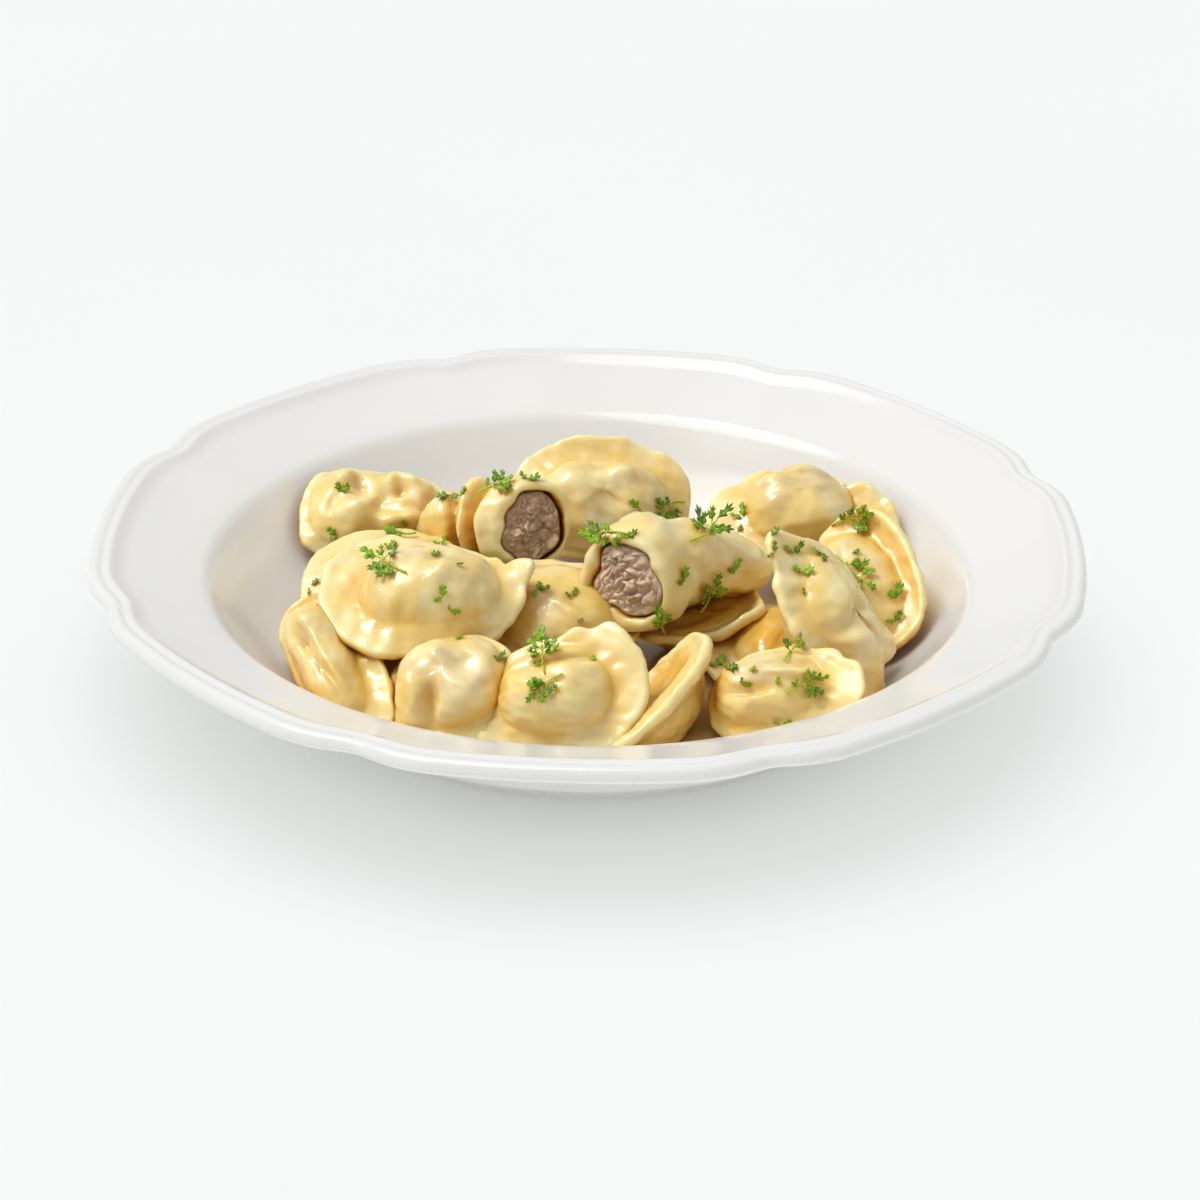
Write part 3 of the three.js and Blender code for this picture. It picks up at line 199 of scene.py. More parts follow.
# The two that are cut across: `at` is the middle of the cut, `axis` runs from it into the piece.
# wall: (degrees, thickness); bulges: (degrees, share, wide, deep, amount); pleats: (share, deep, amount);
# browned: how dark the mince is; fat: (degrees, how pale its edge is).
CUT = {
    "cut_left": dict(
        at=(-14.5, 18.5, 28.6), axis=(-0.42, 0.84, -0.32), up=(0, 0, 1), long=35, half_wide=10.8,
        half_high=12.2, curl=-0.038, seed=31, blunt=3.0, tint=0.3, browned=0.68,
        fat=[(0, 0.1), (90, 0.2), (180, 0.3), (270, 0.6)],
        pleats=[(0.35, 0.055, -3.4), (0.64, 0.05, -3.2)],
        wall=[(0, 3.6), (35, 3.0), (70, 3.4), (110, 2.8), (150, 3.0), (180, 2.2), (215, 2.0), (250, 2.8),
            (290, 2.6), (330, 2.8)],
        bulges=[(180, 0.16, 55, 0.13, 3.6), (350, 0.19, 55, 0.1, 2.2), (10, 0.5, 70, 0.11, 3.2),
            (20, 0.82, 70, 0.11, 3.0), (150, 0.0, 22, 0.08, 1.6), (215, 0.02, 20, 0.08, -1.2),
            (60, 0.02, 20, 0.08, -1.0)]),
    "cut_right": dict(
        at=(8.5, -15.5, 30), axis=(0.45, 0.82, -0.14), up=(0.05, 0, 1), long=44, half_wide=11.8,
        half_high=12.6, curl=0.026, seed=32, blunt=3.0, taper=0.12, tint=0.45, browned=0.22,
        fat=[(0, 0.7), (90, 0.1), (180, 0.3), (270, 0.95), (315, 0.9)],
        wall=[(0, 3.8), (45, 3.2), (90, 3.6), (135, 2.4), (180, 1.8), (225, 2.6), (270, 5.0), (315, 4.4)],
        bulges=[(75, 0.2, 50, 0.14, 3.2), (120, 0.5, 40, 0.15, 2.6), (270, 0.62, 70, 0.3, -3.6),
            (215, 0.2, 35, 0.2, 1.5), (335, 0.02, 40, 0.12, 1.8), (45, 0.0, 20, 0.08, 1.0),
            (270, 0.0, 25, 0.08, 0.8), (300, 0.02, 18, 0.06, -0.9)]),
}


# Parsley as seen from the eye, in mm on the plane through the middle of the rim that faces it:
# (across, up, size, turn), where turn is the way a sprig points.
SPRIGS = [
    (-48.1, -7.9, 5.2, 150), (-23.4, 10.8, 4.4, 20), (-10.8, -30.2, 5.6, 100), (-9.6, -37, 4.8, 215),
    (5.0, -0.1, 5.2, 175), (19.0, 6.2, 4.6, 200), (28.0, 1.0, 6.0, 40), (28.7, -15.3, 4.4, 70),
    (63.9, -9.3, 5.6, 320), (63.2, 3.2, 5.2, 10), (52.1, -36.7, 5.0, 20), (-45.2, -1, 3.6, 170),
    (49, -28.5, 3.6, 60), (18, -21.3, 3.4, 100),
]
FLAKES = [
    (-59.2, 9.9, 1.9, 20), (-62, -0.3, 1.8, 140), (-35.3, -3.2, 2.0, 70), (-35.3, -14.5, 2.0, 90),
    (-32.1, -19.4, 1.6, 0), (-10.7, -13.8, 1.8, 10), (-3.4, -14.6, 1.7, 60), (-31.2, -25.9, 1.4, 30),
    (-20.8, -30.4, 2.0, 70), (1.1, -30.7, 1.3, 90), (-13.6, 12.9, 2.3, 20), (10.7, 6.9, 2.2, 150),
    (10.3, -0.5, 2.0, 40), (37.1, 5.7, 2.6, 100), (35.7, -7.2, 2.0, 80), (22.9, -9.7, 2.4, 100),
    (44.7, -3.1, 1.9, 90), (50.2, -3.5, 2.4, 50), (55, -4.4, 2.4, 170), (52.8, -9, 2.0, 20),
    (74.5, -13.4, 2.5, 80), (74.8, -19.6, 2.0, 60), (35, -32.4, 1.8, 20), (38.4, -36.3, 1.7, 0),
    (48.2, -45.7, 2.0, 30), (32, -30.8, 2.0, 60), (-66, -12.9, 1.4, 30), (-67.4, -15.1, 1.2, 80),
    (-35.3, 8.3, 2.0, 200), (-30.6, 9.6, 1.6, 60), (-37.2, -5.7, 1.5, 10), (-47.5, -3.6, 1.6, 60),
    (-31.4, -8.1, 1.0, 0), (-44.6, 1.8, 1.5, 120), (-2, -21.3, 1.1, 30), (-13, -15, 1.2, 100),
    (44.7, 0.5, 1.5, 45), (52, -14, 1.3, 100), (40, -32.8, 1.4, 10), (46, -35.5, 1.3, 80),
    (64.4, -4.2, 1.2, 20), (36.4, 1.2, 1.2, 60),
]


# ---- small helpers ----
def chance(seed, k):
    """A repeatable number from 0 to 1."""
    value = math.sin(seed * 12.9898 + k * 78.233) * 43758.5453
    return value - math.floor(value)


def around(theta, stops, item):
    """One column of the stops at each angle, joined smoothly all the way round."""
    turn = np.degrees(theta) % 360
    places = [stops[-1][0] - 360] + [stop[0] for stop in stops] + [stops[0][0] + 360]
    values = [stops[-1][item]] + [stop[item] for stop in stops] + [stops[0][item]]
    index = np.clip(np.searchsorted(places, turn, side="right") - 1, 0, len(places) - 2)
    places = np.array(places, float)
    values = np.array(values, float)
    share = (turn - places[index]) / (places[index + 1] - places[index])
    blend = (1 - np.cos(np.pi * share)) / 2
    return values[index] * (1 - blend) + values[index + 1] * blend


def bent(along, out, k):
    """Bends a pair of coordinates round an arc; the ends go toward minus the second."""
    if abs(k) < 1e-6:
        return along, out
    turn = along * k
    return (1 / k + out) * np.sin(turn), (1 / k + out) * np.cos(turn) - 1 / k


def lumps(x, y, seed, count=4, short=8.0, long=17.0):
    """Uneven swelling of boiled dough: a sum of slanted waves."""
    total = np.zeros_like(x)
    for i in range(count):
        way = 2 * math.pi * chance(seed, 3 * i + 1)
        size = short + (long - short) * chance(seed, 3 * i + 2)
        phase = 2 * math.pi * chance(seed, 3 * i + 3)
        total = total + np.sin((x * math.cos(way) + y * math.sin(way)) * 2 * math.pi / size + phase)
    return total / count ** 0.5


RIPPLE_WAVES = 7


def ripples(points, seed, short, long):
    """The same in space, for relief that follows no face."""
    total = np.zeros(points.shape[:-1])
    for i in range(RIPPLE_WAVES):
        tilt = math.pi * chance(seed, 5 * i + 51)
        way = 2 * math.pi * chance(seed, 5 * i + 52)
        size = short + (long - short) * chance(seed, 5 * i + 53)
        heading = np.array([math.sin(tilt) * math.cos(way), math.sin(tilt) * math.sin(way), math.cos(tilt)])
        total = total + np.sin(points @ heading * 2 * math.pi / size + 6.283 * chance(seed, 5 * i + 54))
    return total / RIPPLE_WAVES ** 0.5


def dimples(x, y, marks):
    """Dents and bulges in one face."""
    total = np.zeros_like(x)
    for cx, cy, rx, ry, turn, amount in marks:
        c = math.cos(math.radians(turn))
        s = math.sin(math.radians(turn))
        u = (x - cx) * c + (y - cy) * s
        v = -(x - cx) * s + (y - cy) * c
        total = total + amount * np.exp(-(u / rx) ** 2 - (v / ry) ** 2)
    return total


def unit(v):
    v = np.array(v, float)
    return v / np.linalg.norm(v)


def ring_faces(rows, seg):
    """Faces of a closed solid made of rings between a first and a last point."""
    end = 1 + rows * seg
    faces = []
    for j in range(seg):
        k = (j + 1) % seg
        faces.append((0, 1 + j, 1 + k))
        for i in range(rows - 1):
            a = 1 + i * seg
            faces.append((a + j, a + seg + j, a + seg + k, a + k))
        faces.append((end - seg + j, end, end - seg + k))
    return faces


def ended(masks):
    """Masks of rings, with the first and the last point's values added."""
    return {name: np.concatenate([np.ravel(value)[:1], np.ravel(value), np.ravel(value)[-1:]])
            for name, value in masks.items()}


def outward(shape):
    """Turns the faces of a closed shape out, if they look in."""
    points, faces, masks = shape
    corners = [face[:3] for face in faces]
    corners += [(face[0], *face[2:]) for face in faces if len(face) == 4]
    p, q, r = (points[np.array(corners)[:, k]] for k in range(3))
    if np.einsum("ij,ij->i", p, np.cross(q, r)).sum() < 0:
        faces = [face[::-1] for face in faces]
    return points, faces, masks


def softened(rows, first, last, times):
    """Rounds the crease between two stretches of rings."""
    for _ in range(times):
        rows[first:last] = (rows[first - 1:last - 1] + 2 * rows[first:last] + rows[first + 1:last + 1]) / 4
    return rows


# ---- shapes, in mm ----
DOME_TOP = 28
DOME_LOW = 18
RIM_ROWS = 9
LIP_ROWS = 5
SEGMENTS = 128
SOFT = [(0, 0.9), (180, 0.9)]
EVEN = [(0, 1.0), (180, 1.0)]


def dumpling(p):
    """A dome of filling each side of a pinched, wavy rim, with masks for what differs in colour and for
    painted shade in its creases.
    """
    theta = np.arange(SEGMENTS) * 2 * math.pi / SEGMENTS
    a = p["half_long"]
    b = p["half_wide"]
    seed = p["seed"]
    half = RIM_EDGE / 2 * around(theta, p.get("thick", EVEN), 1)
    width = around(theta, p["rim"], 1)
    lift = around(theta, p["rim"], 2)
    body = around(theta, p["body"], 1) if "body" in p else 1.0
    fillet = 0.35 + around(theta, p.get("soft", SOFT), 1)
    power = 2 / p.get("square", 2.2)
    c = np.cos(theta)
    s = np.sin(theta)
    ex = a * np.sign(c) * np.abs(c) ** power * body
    ey = b * np.sign(s) * np.abs(s) ** power * body
    size = np.hypot(b * c, a * s)
    nx = b * c / size
    ny = a * s / size
    flat = np.clip((width - 0.6) / 3.4, 0, 1)
    flat = flat * flat * (3 - 2 * flat)
    wave_a = 4 + int(3 * chance(seed, 41))
    wave_b = 7 + int(4 * chance(seed, 42))
    phase_a = 6.283 * chance(seed, 43)
    phase_b = 6.283 * chance(seed, 44)
    wave = np.sin(wave_a * theta + phase_a) * 0.7 + np.sin(wave_b * theta + phase_b) * 0.3
    wave = p.get("ruffle", 0.5) * wave * np.clip(width / 5, 0.15, 1)
    wide = np.sin(wave_a * theta + phase_b) * 0.5 + np.sin((wave_b + 2) * theta + phase_a) * 0.25
    width = width + p.get("wobble", 0.6) * wide * np.clip(width / 5, 0.1, 1)
    pinch = 0.88 + 0.14 * np.sin(5 * theta + phase_b) * np.sin(3 * theta + phase_a)
    flutter = 0.14 * np.sin(17 * theta + phase_a) * np.sin(4 * theta + phase_b) * np.clip(width / 4, 0, 1)
    wave = wave + flutter

    def blended_in(raised):
        return (raised + np.sqrt(raised * raised + 4 * fillet * fillet * flat + 0.1)) / 2

    def dome_row(share, sign):
        x = ex * share
        y = ey * share
        height = p["rise"] if sign > 0 else p["drop"]
        swell = height * np.maximum(1 - share ** (2.2 + 0.8 * flat), 0) ** (0.52 + 0.26 * flat)
        rough = p.get("lump", 0.5) * lumps(x, y, seed + (0 if sign > 0 else 3)) * (1 - share ** 4)
        raised = swell + rough
        if sign > 0:
            raised = raised + dimples(x, y, p.get("marks", []))
        sunk = p.get("dish", 0.0) * (1 - share ** 2) if sign > 0 else 0.0
        return np.stack(np.broadcast_arrays(x, y, sign * (half + blended_in(raised)) - sunk), 1)

    def rim_row(share, sign):
        reach = share * width
        lifted = lift * share ** 1.5 + wave * share ** 2
        foot = blended_in(-1.6 * reach) * (1 - share ** 3)
        thick = half * (1 + (pinch - 1) * share) + foot
        return np.stack([ex + nx * reach, ey + ny * reach, lifted + sign * thick], 1)

    def lip_row(turn):
        reach = width + half * 0.85 * pinch * math.sin(turn)
        return np.stack([ex + nx * reach, ey + ny * reach, lift + wave + half * pinch * math.cos(turn)], 1)

    tops = [math.sin(math.pi / 2 * k / DOME_TOP) ** 0.9 for k in range(1, DOME_TOP + 1)]
    lows = [math.sin(math.pi / 2 * k / DOME_LOW) ** 0.9 for k in range(1, DOME_LOW + 1)]
    rims = [(k / RIM_ROWS) ** 1.25 for k in range(1, RIM_ROWS + 1)]
    lips = [math.pi * k / (LIP_ROWS + 1) for k in range(1, LIP_ROWS + 1)]
    rows = [dome_row(share, 1) for share in tops]
    rows += [rim_row(share, 1) for share in rims]
    rows += [lip_row(turn) for turn in lips]
    rows += [rim_row(share, -1) for share in rims[::-1]]
    rows += [dome_row(share, -1) for share in lows[::-1]]
    rows = softened(np.array(rows), DOME_TOP - 6, DOME_TOP + 4, 4)
    below = DOME_TOP + 2 * RIM_ROWS + LIP_ROWS
    rows = softened(rows, below - 4, below + 5, 4)
    shares = np.array(tops + [1.0] * (2 * RIM_ROWS + LIP_ROWS) + lows[::-1])
    reach = np.array([0.0] * DOME_TOP + rims + [1.0] * LIP_ROWS + rims[::-1] + [0.0] * DOME_LOW)
    inward = (1 - shares[:, None]) * b + reach[:, None] * width[None, :]
    # the crease mask marks where painted golden shade goes along the seam
    crease = np.exp(-(inward / 2.6) ** 2) * flat[None, :] / (1 + fillet[None, :])
    filling = np.clip(1 - shares ** 3, 0, 1)[:, None] * np.ones(SEGMENTS)[None, :]
    edge = reach[:, None] ** 2 * np.ones(SEGMENTS)[None, :]
    peak = [[0.0, 0.0, dome_row(0.0, 1)[:, 2].mean()]]
    base = [[0.0, 0.0, dome_row(0.0, -1)[:, 2].mean()]]
    points = placed(np.vstack([peak, rows.reshape(-1, 3), base]), p)
    upper = np.zeros_like(filling)
    upper[:DOME_TOP] = np.clip(1.15 - shares[:DOME_TOP] ** 6, 0, 1)[:, None]
    masks = ended({"crease": crease, "filling": filling, "edge": edge, "upper": upper})
    return points, ring_faces(len(rows), SEGMENTS), masks


def placed(points, p):
    """From the piece's own axes to the plate's."""
    x, y, z = points.T
    x, z = bent(x, z, p.get("arch", 0.0))
    up = unit(p["up"])
    rim = np.array(p["rim_to"], float)
    rim = unit(rim - up * rim.dot(up))
    side = np.cross(rim, up)
    return np.array(p["at"], float) + np.outer(x, side) + np.outer(y, rim) + np.outer(z, up)


CUP_SEGMENTS = 112
CUP_OUT = 40
CUP_IN = 12
CAVITY = 0.8
FILLING_GAP = 0.35
FACE_ROWS = 44
CUT_UNEVEN = 0.5
MINCE_LUMPS = 64
FILLING_SUNK = 0.8
FILLING_BULGE = 1.0
FAT_DEPTH = 0.4


def cut_ring(p, s, inset, x):
    """One ring of the cup's wall, at a share of its length; inset is how far inside the skin it lies."""
    phi = np.arange(CUP_SEGMENTS) * 2 * math.pi / CUP_SEGMENTS
    close = max(1 - s ** p["blunt"], 0) ** 0.5
    mouth = 1 - 0.05 * (1 - min(s / 0.12, 1)) ** 2
    grow = np.zeros(CUP_SEGMENTS)
    for where, share, wide, deep, amount in p["bulges"]:
        off = (np.degrees(phi) - where + 180) % 360 - 180
        grow = grow + amount * np.exp(-(off / wide) ** 2 - ((s - share) / deep) ** 2)
    for share, deep, amount in p.get("pleats", []):
        grow = grow + amount * math.exp(-((s - share) / deep) ** 2)
    rough = lumps(phi * 12, np.full(CUP_SEGMENTS, x * 1.3), p["seed"])
    grow = grow + CUT_UNEVEN * rough * min(1, 4 * s)
    y = (p["half_wide"] + grow) * close * mouth - inset
    z = (p["half_high"] * (1 - p.get("taper", 0.0) * s) + grow) * close * mouth - inset
    y = np.cos(phi) * np.maximum(y, 0.2)
    z = np.sin(phi) * np.maximum(z, 0.2)
    return np.stack([np.full(CUP_SEGMENTS, x), y, z], 1)


def wall_of(p):
    phi = np.arange(CUP_SEGMENTS) * 2 * math.pi / CUP_SEGMENTS
    uneven = 0.45 * np.sin(3 * phi + p["seed"]) + 0.35 * np.sin(5 * phi + 2 * p["seed"])
    uneven = uneven + 0.2 * np.sin(8 * phi)
    return np.maximum(around(phi, p["wall"], 1) + uneven, 1.0)


def inner_ring(p, k, gap):
    s = CAVITY * math.sin(math.pi / 2 * k / (CUP_IN + 1))
    ring = cut_ring(p, s, wall_of(p) + gap, s * p["long"])
    ring[:, 1:] *= (1 - (s / CAVITY) ** 3) ** 0.5
    return ring


def cut_placed(points, p):
    x, y, z = points.T
    x, y = bent(x, y, p.get("curl", 0.0))
    axis = unit(p["axis"])
    up = np.array(p["up"], float)
    up = unit(up - axis * up.dot(axis))
    side = np.cross(up, axis)
    return np.array(p["at"], float) + np.outer(x, axis) + np.outer(y, side) + np.outer(z, up)


def cut_cup(p):
    """The dough of a pelmen cut across, open at the cut."""
    rows = []
    depth = []
    for k in range(CUP_OUT - 1, -1, -1):
        s = math.sin(math.pi / 2 * k / CUP_OUT)
        rows.append(cut_ring(p, s, 0, s * p["long"]))
        depth.append(s * p["long"])
    for back, share in ((-0.35, 0.12), (-0.6, 0.35), (-0.6, 0.65), (-0.35, 0.88), (0.3, 1.0)):
        rows.append(cut_ring(p, 0, wall_of(p) * share, back))
        depth.append(0.0)
    for k in range(1, CUP_IN + 1):
        rows.append(inner_ring(p, k, 0.0))
        depth.append(0.0)
    rows = softened(np.array(rows), CUP_OUT - 3, CUP_OUT + 6, 2)
    ends = [[p["long"], 0, 0]], [[CAVITY * p["long"], 0, 0]]
    points = cut_placed(np.vstack([ends[0], rows.reshape(-1, 3), ends[1]]), p)
    depth = np.repeat(depth, CUP_SEGMENTS)
    edge = np.exp(-(depth / 2.0) ** 2)
    pleated = np.zeros_like(depth)
    for share, deep, _ in p.get("pleats", []):
        pleated = pleated + np.exp(-((depth / p["long"] - share) / (deep * 0.8)) ** 2)
    inside = np.repeat([0.0] * (CUP_OUT + 3) + [1.0] * (CUP_IN + 2), CUP_SEGMENTS)
    # the crease mask marks painted shade in the pleats and on the cup's inside
    masks = ended({"crease": np.clip(pleated + inside * 0.9, 0, 1),
                   "filling": 0.6 * (1 - edge) * (1 - inside), "edge": edge, "upper": 1 - edge})
    return points, ring_faces(len(rows), CUP_SEGMENTS), masks


def mince_plug(p):
    """The filling: it fills the cup, and its face at the cut is lumps of mince with cracks between."""
    rows = [inner_ring(p, k, FILLING_GAP) for k in range(CUP_IN, 0, -1)]
    base = cut_ring(p, 0, wall_of(p) + FILLING_GAP, 0.0)
    seed = p["seed"] + 7
    reach = max(p["half_wide"], p["half_high"])
    luck = np.array([[chance(seed + 0.37 * i, k) for k in range(6)] for i in range(MINCE_LUMPS)])
    spots = (2 * luck[:, :2] - 1) * reach
    turn = math.pi * luck[:, 2]
    long = 1.1 + 0.7 * luck[:, 3]
    tones = []
    cracks = []
    for k in range(FACE_ROWS, 0, -1):
        share = (k / FACE_ROWS) ** 0.8
        row = base.copy()
        row[:, 1:] *= share
        warp = 0.7 * lumps(row[:, 1], row[:, 2], seed + 3, 6, 1.8, 5.0)
        across = row[:, 1, None] + warp[:, None] - spots[None, :, 0]
        above = row[:, 2, None] - 0.8 * warp[:, None] - spots[None, :, 1]
        u = (across * np.cos(turn) + above * np.sin(turn)) / long
        v = (above * np.cos(turn) - across * np.sin(turn)) / 0.9
        away = np.sqrt(u * u + v * v)
        order = np.argsort(away, 1)
        near = np.take_along_axis(away, order[:, :2], 1)
        whole = np.clip((near[:, 1] - near[:, 0]) / 2.2, 0, 1)
        whole = whole * (2 - whole)
        level = 0.9 * luck[order[:, 0], 4] * whole + 0.7 * whole
        fine = 0.08 * lumps(row[:, 1], row[:, 2], seed + 9, 7, 0.8, 1.8)
        fine = fine + 0.2 * lumps(row[:, 1], row[:, 2], seed + 19, 5, 2.4, 5.0)
        sunk = FILLING_SUNK - FILLING_BULGE * (1 - share ** 2)
        row[:, 0] = sunk - (level + fine) * min(1, (1 - share) * 6 + 0.2)
        rows.append(row)
        tones.append(luck[order[:, 0], 5])
        # the crack mask marks where painted dark shade goes between the lumps
        cracks.append((1 - whole) * (0.4 + 0.6 * luck[order[:, 1], 3]))
    rows = np.array(rows)
    turns = np.arange(CUP_SEGMENTS) * 2 * math.pi / CUP_SEGMENTS
    fat = [around(turns, p["fat"], 1) * math.exp(-((1 - (k / FACE_ROWS) ** 0.8) / FAT_DEPTH) ** 2)
           for k in range(FACE_ROWS, 0, -1)]
    ends = [[CAVITY * p["long"] - FILLING_GAP, 0, 0]], [[float(rows[-1][:, 0].mean()), 0, 0]]
    points = cut_placed(np.vstack([ends[0], rows.reshape(-1, 3), ends[1]]), p)
    blank = np.zeros(1 + CUP_IN * CUP_SEGMENTS)
    masks = {key: np.concatenate([blank, np.ravel(values), [last]])
             for key, values, last in (("grain", tones, 0.5), ("crack", cracks, 0.0), ("fat", fat, 0.0))}
    return points, ring_faces(len(rows), CUP_SEGMENTS), masks


def scallop(degrees):
    """How far the rim's outline departs from a circle, as a share of the radius."""
    pitch = 360 / LOBES
    d = (degrees - FIRST_NOTCH + pitch / 2) % pitch - pitch / 2
    notch = -NOTCH_DEPTH * np.exp(-(d / 2.9) ** 2)
    raised = SHOULDER * np.exp(-((np.abs(d) - 7.5) / 4) ** 2)
    middle = -LOBE_FLAT * np.exp(-((np.abs(d) - pitch / 2) / 7) ** 2)
    return (notch + raised + middle) / PLATE_RADIUS


def plate_shape():
    seg = 480
    degrees = np.arange(seg) * 360 / seg
    theta = np.radians(degrees)
    pitch = 360 / LOBES
    off = (degrees - FIRST_NOTCH + pitch / 2) % pitch - pitch / 2
    outline = scallop(degrees)
    rows = []
    profile = PLATE_LOW + PLATE_TOP
    for i, (r, z) in enumerate(profile):
        t = min(max((r - SCALLOP_FROM) / (SCALLOP_FULL - SCALLOP_FROM), 0), 1)
        t = t * t * (3 - 2 * t)
        radius = r * (1 + outline * t)
        groove = 0.4 * np.exp(-(off / 3.0) ** 2) * min(max((r - 104) / 9, 0), 1) * (i >= len(PLATE_LOW))
        rows.append(np.stack([radius * np.cos(theta), radius * np.sin(theta), np.full(seg, z) - groove], 1))
    points = np.vstack([[[0, 0, 2.2]], np.array(rows).reshape(-1, 3), [[0, 0, 5.0]]])
    within = [0.0] * len(PLATE_LOW) + [1.0 if r < BOWL_RADIUS else 0.0 for r, z in PLATE_TOP]
    within = np.concatenate([[0.0], np.repeat(within, seg), [1.0]])
    radius = np.hypot(points[:, 0], points[:, 1])
    below = within * np.clip((UNDER_HEAP_BACK - points[:, 1]) / 16, 0, 1)
    below = below * np.clip((UNDER_HEAP_RADIUS - radius) / 10, 0, 1)
    return points, ring_faces(len(rows), seg), {"within": within, "below": below}


# ---- parsley ----
BLADE = [(0.0, 0.04), (0.18, 0.08), (0.27, 0.30), (0.42, 0.50), (0.50, 0.19), (0.57, 0.17), (0.69, 0.38),
         (0.86, 0.38), (0.77, 0.13), (0.88, 0.10), (1.0, 0.02)]
BLADE_MIDDLE = 0.45
BLADE_THICK = 0.32
STALK = 0.24
FAN = [(0.52, 4, 0.62), (0.38, 52, 0.55), (0.34, -48, 0.58), (0.02, 66, 0.60), (-0.06, -60, 0.56),
       (-0.46, 58, 0.46), (-0.52, -64, 0.42)]
VIEW_BACK = np.array([0.0, -math.cos(EYE_ANGLE), math.sin(EYE_ANGLE)])
VIEW_EYE = VIEW_BACK * EYE_DISTANCE / MM + (0, 0, RIM_HEIGHT / MM)
VIEW_UP = np.array([0.0, math.sin(EYE_ANGLE), math.cos(EYE_ANGLE)])


def way_to(across, up):
    return Vector(unit(np.array([across, 0, RIM_HEIGHT / MM]) + VIEW_UP * up - VIEW_EYE))


def herb_bed(food, across, up, reach):
    """What a herb at this spot lies on: a plane through the seen point, and the food's rise above it."""
    eye = Vector(VIEW_EYE)
    way = way_to(across, up)
    middle, normal = food.ray_cast(eye, way)[:2]
    total = normal.copy()
    for k in range(8):
        turn = math.pi * k / 4
        right = 0.6 * reach * math.cos(turn)
        above = 0.6 * reach * math.sin(turn)
        near = food.ray_cast(eye, way_to(across + right, up + above))
        if near[0] is not None and (near[0] - middle).length < 1.5 * reach:
            total += near[1]
    lifted = (total.normalized() - 0.35 * way).normalized()

    def place(right, above, height):
        line = way_to(across + right, up + above)
        flat = eye + line * ((middle - eye).dot(lifted) / line.dot(lifted))
        hit = food.ray_cast(eye, line)[0]
        rise = 0.0 if hit is None else min(max((hit - flat).dot(lifted), -0.22 * reach), 0.35 * reach)
        return flat + lifted * (rise + height)
    return place


def blade(place, base, heading, long, wide, seed, raised, tilt):
    """One lobed blade of a parsley leaf: a thin solid whose two faces are alike."""
    c = math.cos(heading)
    d = math.sin(heading)
    outline = []
    for side in (1, -1):
        row = BLADE if side > 0 else BLADE[-2:0:-1]
        for k, (along, out) in enumerate(row):
            along = along * (1 + 0.10 * (chance(seed, 7 * k + side) - 0.5))
            out = out * (0.75 + 0.5 * chance(seed, 11 * k + side + 3))
            outline.append((along, side * out))
    curl = 0.25 * long * (0.4 + chance(seed, 5))
    rows = []
    for side, share in ((1, 0.5), (1, 1.0), (-1, 1.0), (-1, 0.5)):
        for along, out in outline:
            along = BLADE_MIDDLE + (along - BLADE_MIDDLE) * share
            out = out * share
            u = long * along
            v = wide * out
            height = raised + curl * along ** 1.5 + tilt * v + 0.25 * abs(v)
            height = height + side * BLADE_THICK / 2 * (1.25 - 0.5 * share)
            rows.append(place(base[0] + u * c - v * d, base[1] + u * d + v * c, height))
    centre = (base[0] + long * BLADE_MIDDLE * c, base[1] + long * BLADE_MIDDLE * d)
    middle = raised + curl * BLADE_MIDDLE ** 1.5 - 0.1
    points = [place(*centre, middle + BLADE_THICK / 2), *rows, place(*centre, middle - BLADE_THICK / 2)]
    vein = [0.9] + [0.25] * len(outline) + [0.0] * len(outline) * 2 + [0.25] * len(outline) + [0.9]
    tone = [chance(seed, 9)] * len(points)
    return np.array(points), ring_faces(4, len(outline)), {"vein": np.array(vein), "tone": np.array(tone)}


def stalk(place, start, end, raised, thick, seed):
    """A thin round stalk between two spots, slightly bowed."""
    rows = []
    bow = 0.3 * (chance(seed, 1) - 0.5)
    across = np.array([start[1] - end[1], end[0] - start[0]])
    reach = float(np.hypot(*across))
    across = across / max(reach, 0.01)
    for k in range(7):
        t = k / 6
        straight = np.array(start) * (1 - t) + np.array(end) * t
        middle = straight + across * bow * reach * math.sin(math.pi * t)
        size = thick * (1.1 - 0.35 * t)
        for j in range(6):
            turn = math.pi * j / 3
            side = middle + across * size * math.cos(turn)
            rows.append(place(side[0], side[1], raised + size * math.sin(turn)))
    points = [place(*start, raised), *rows, place(*end, raised)]
    masks = {"vein": np.ones(len(points)), "tone": np.full(len(points), 0.6)}
    return np.array(points), ring_faces(7, 6), masks


def joined(shapes):
    """Several closed shapes as one."""
    points = []
    faces = []
    start = 0
    for shape in shapes:
        points.append(shape[0])
        faces += [tuple(start + k for k in face) for face in shape[1]]
        start += len(shape[0])
    masks = {key: np.concatenate([shape[2][key] for shape in shapes]) for key in shapes[0][2]}
    return np.vstack(points), faces, masks


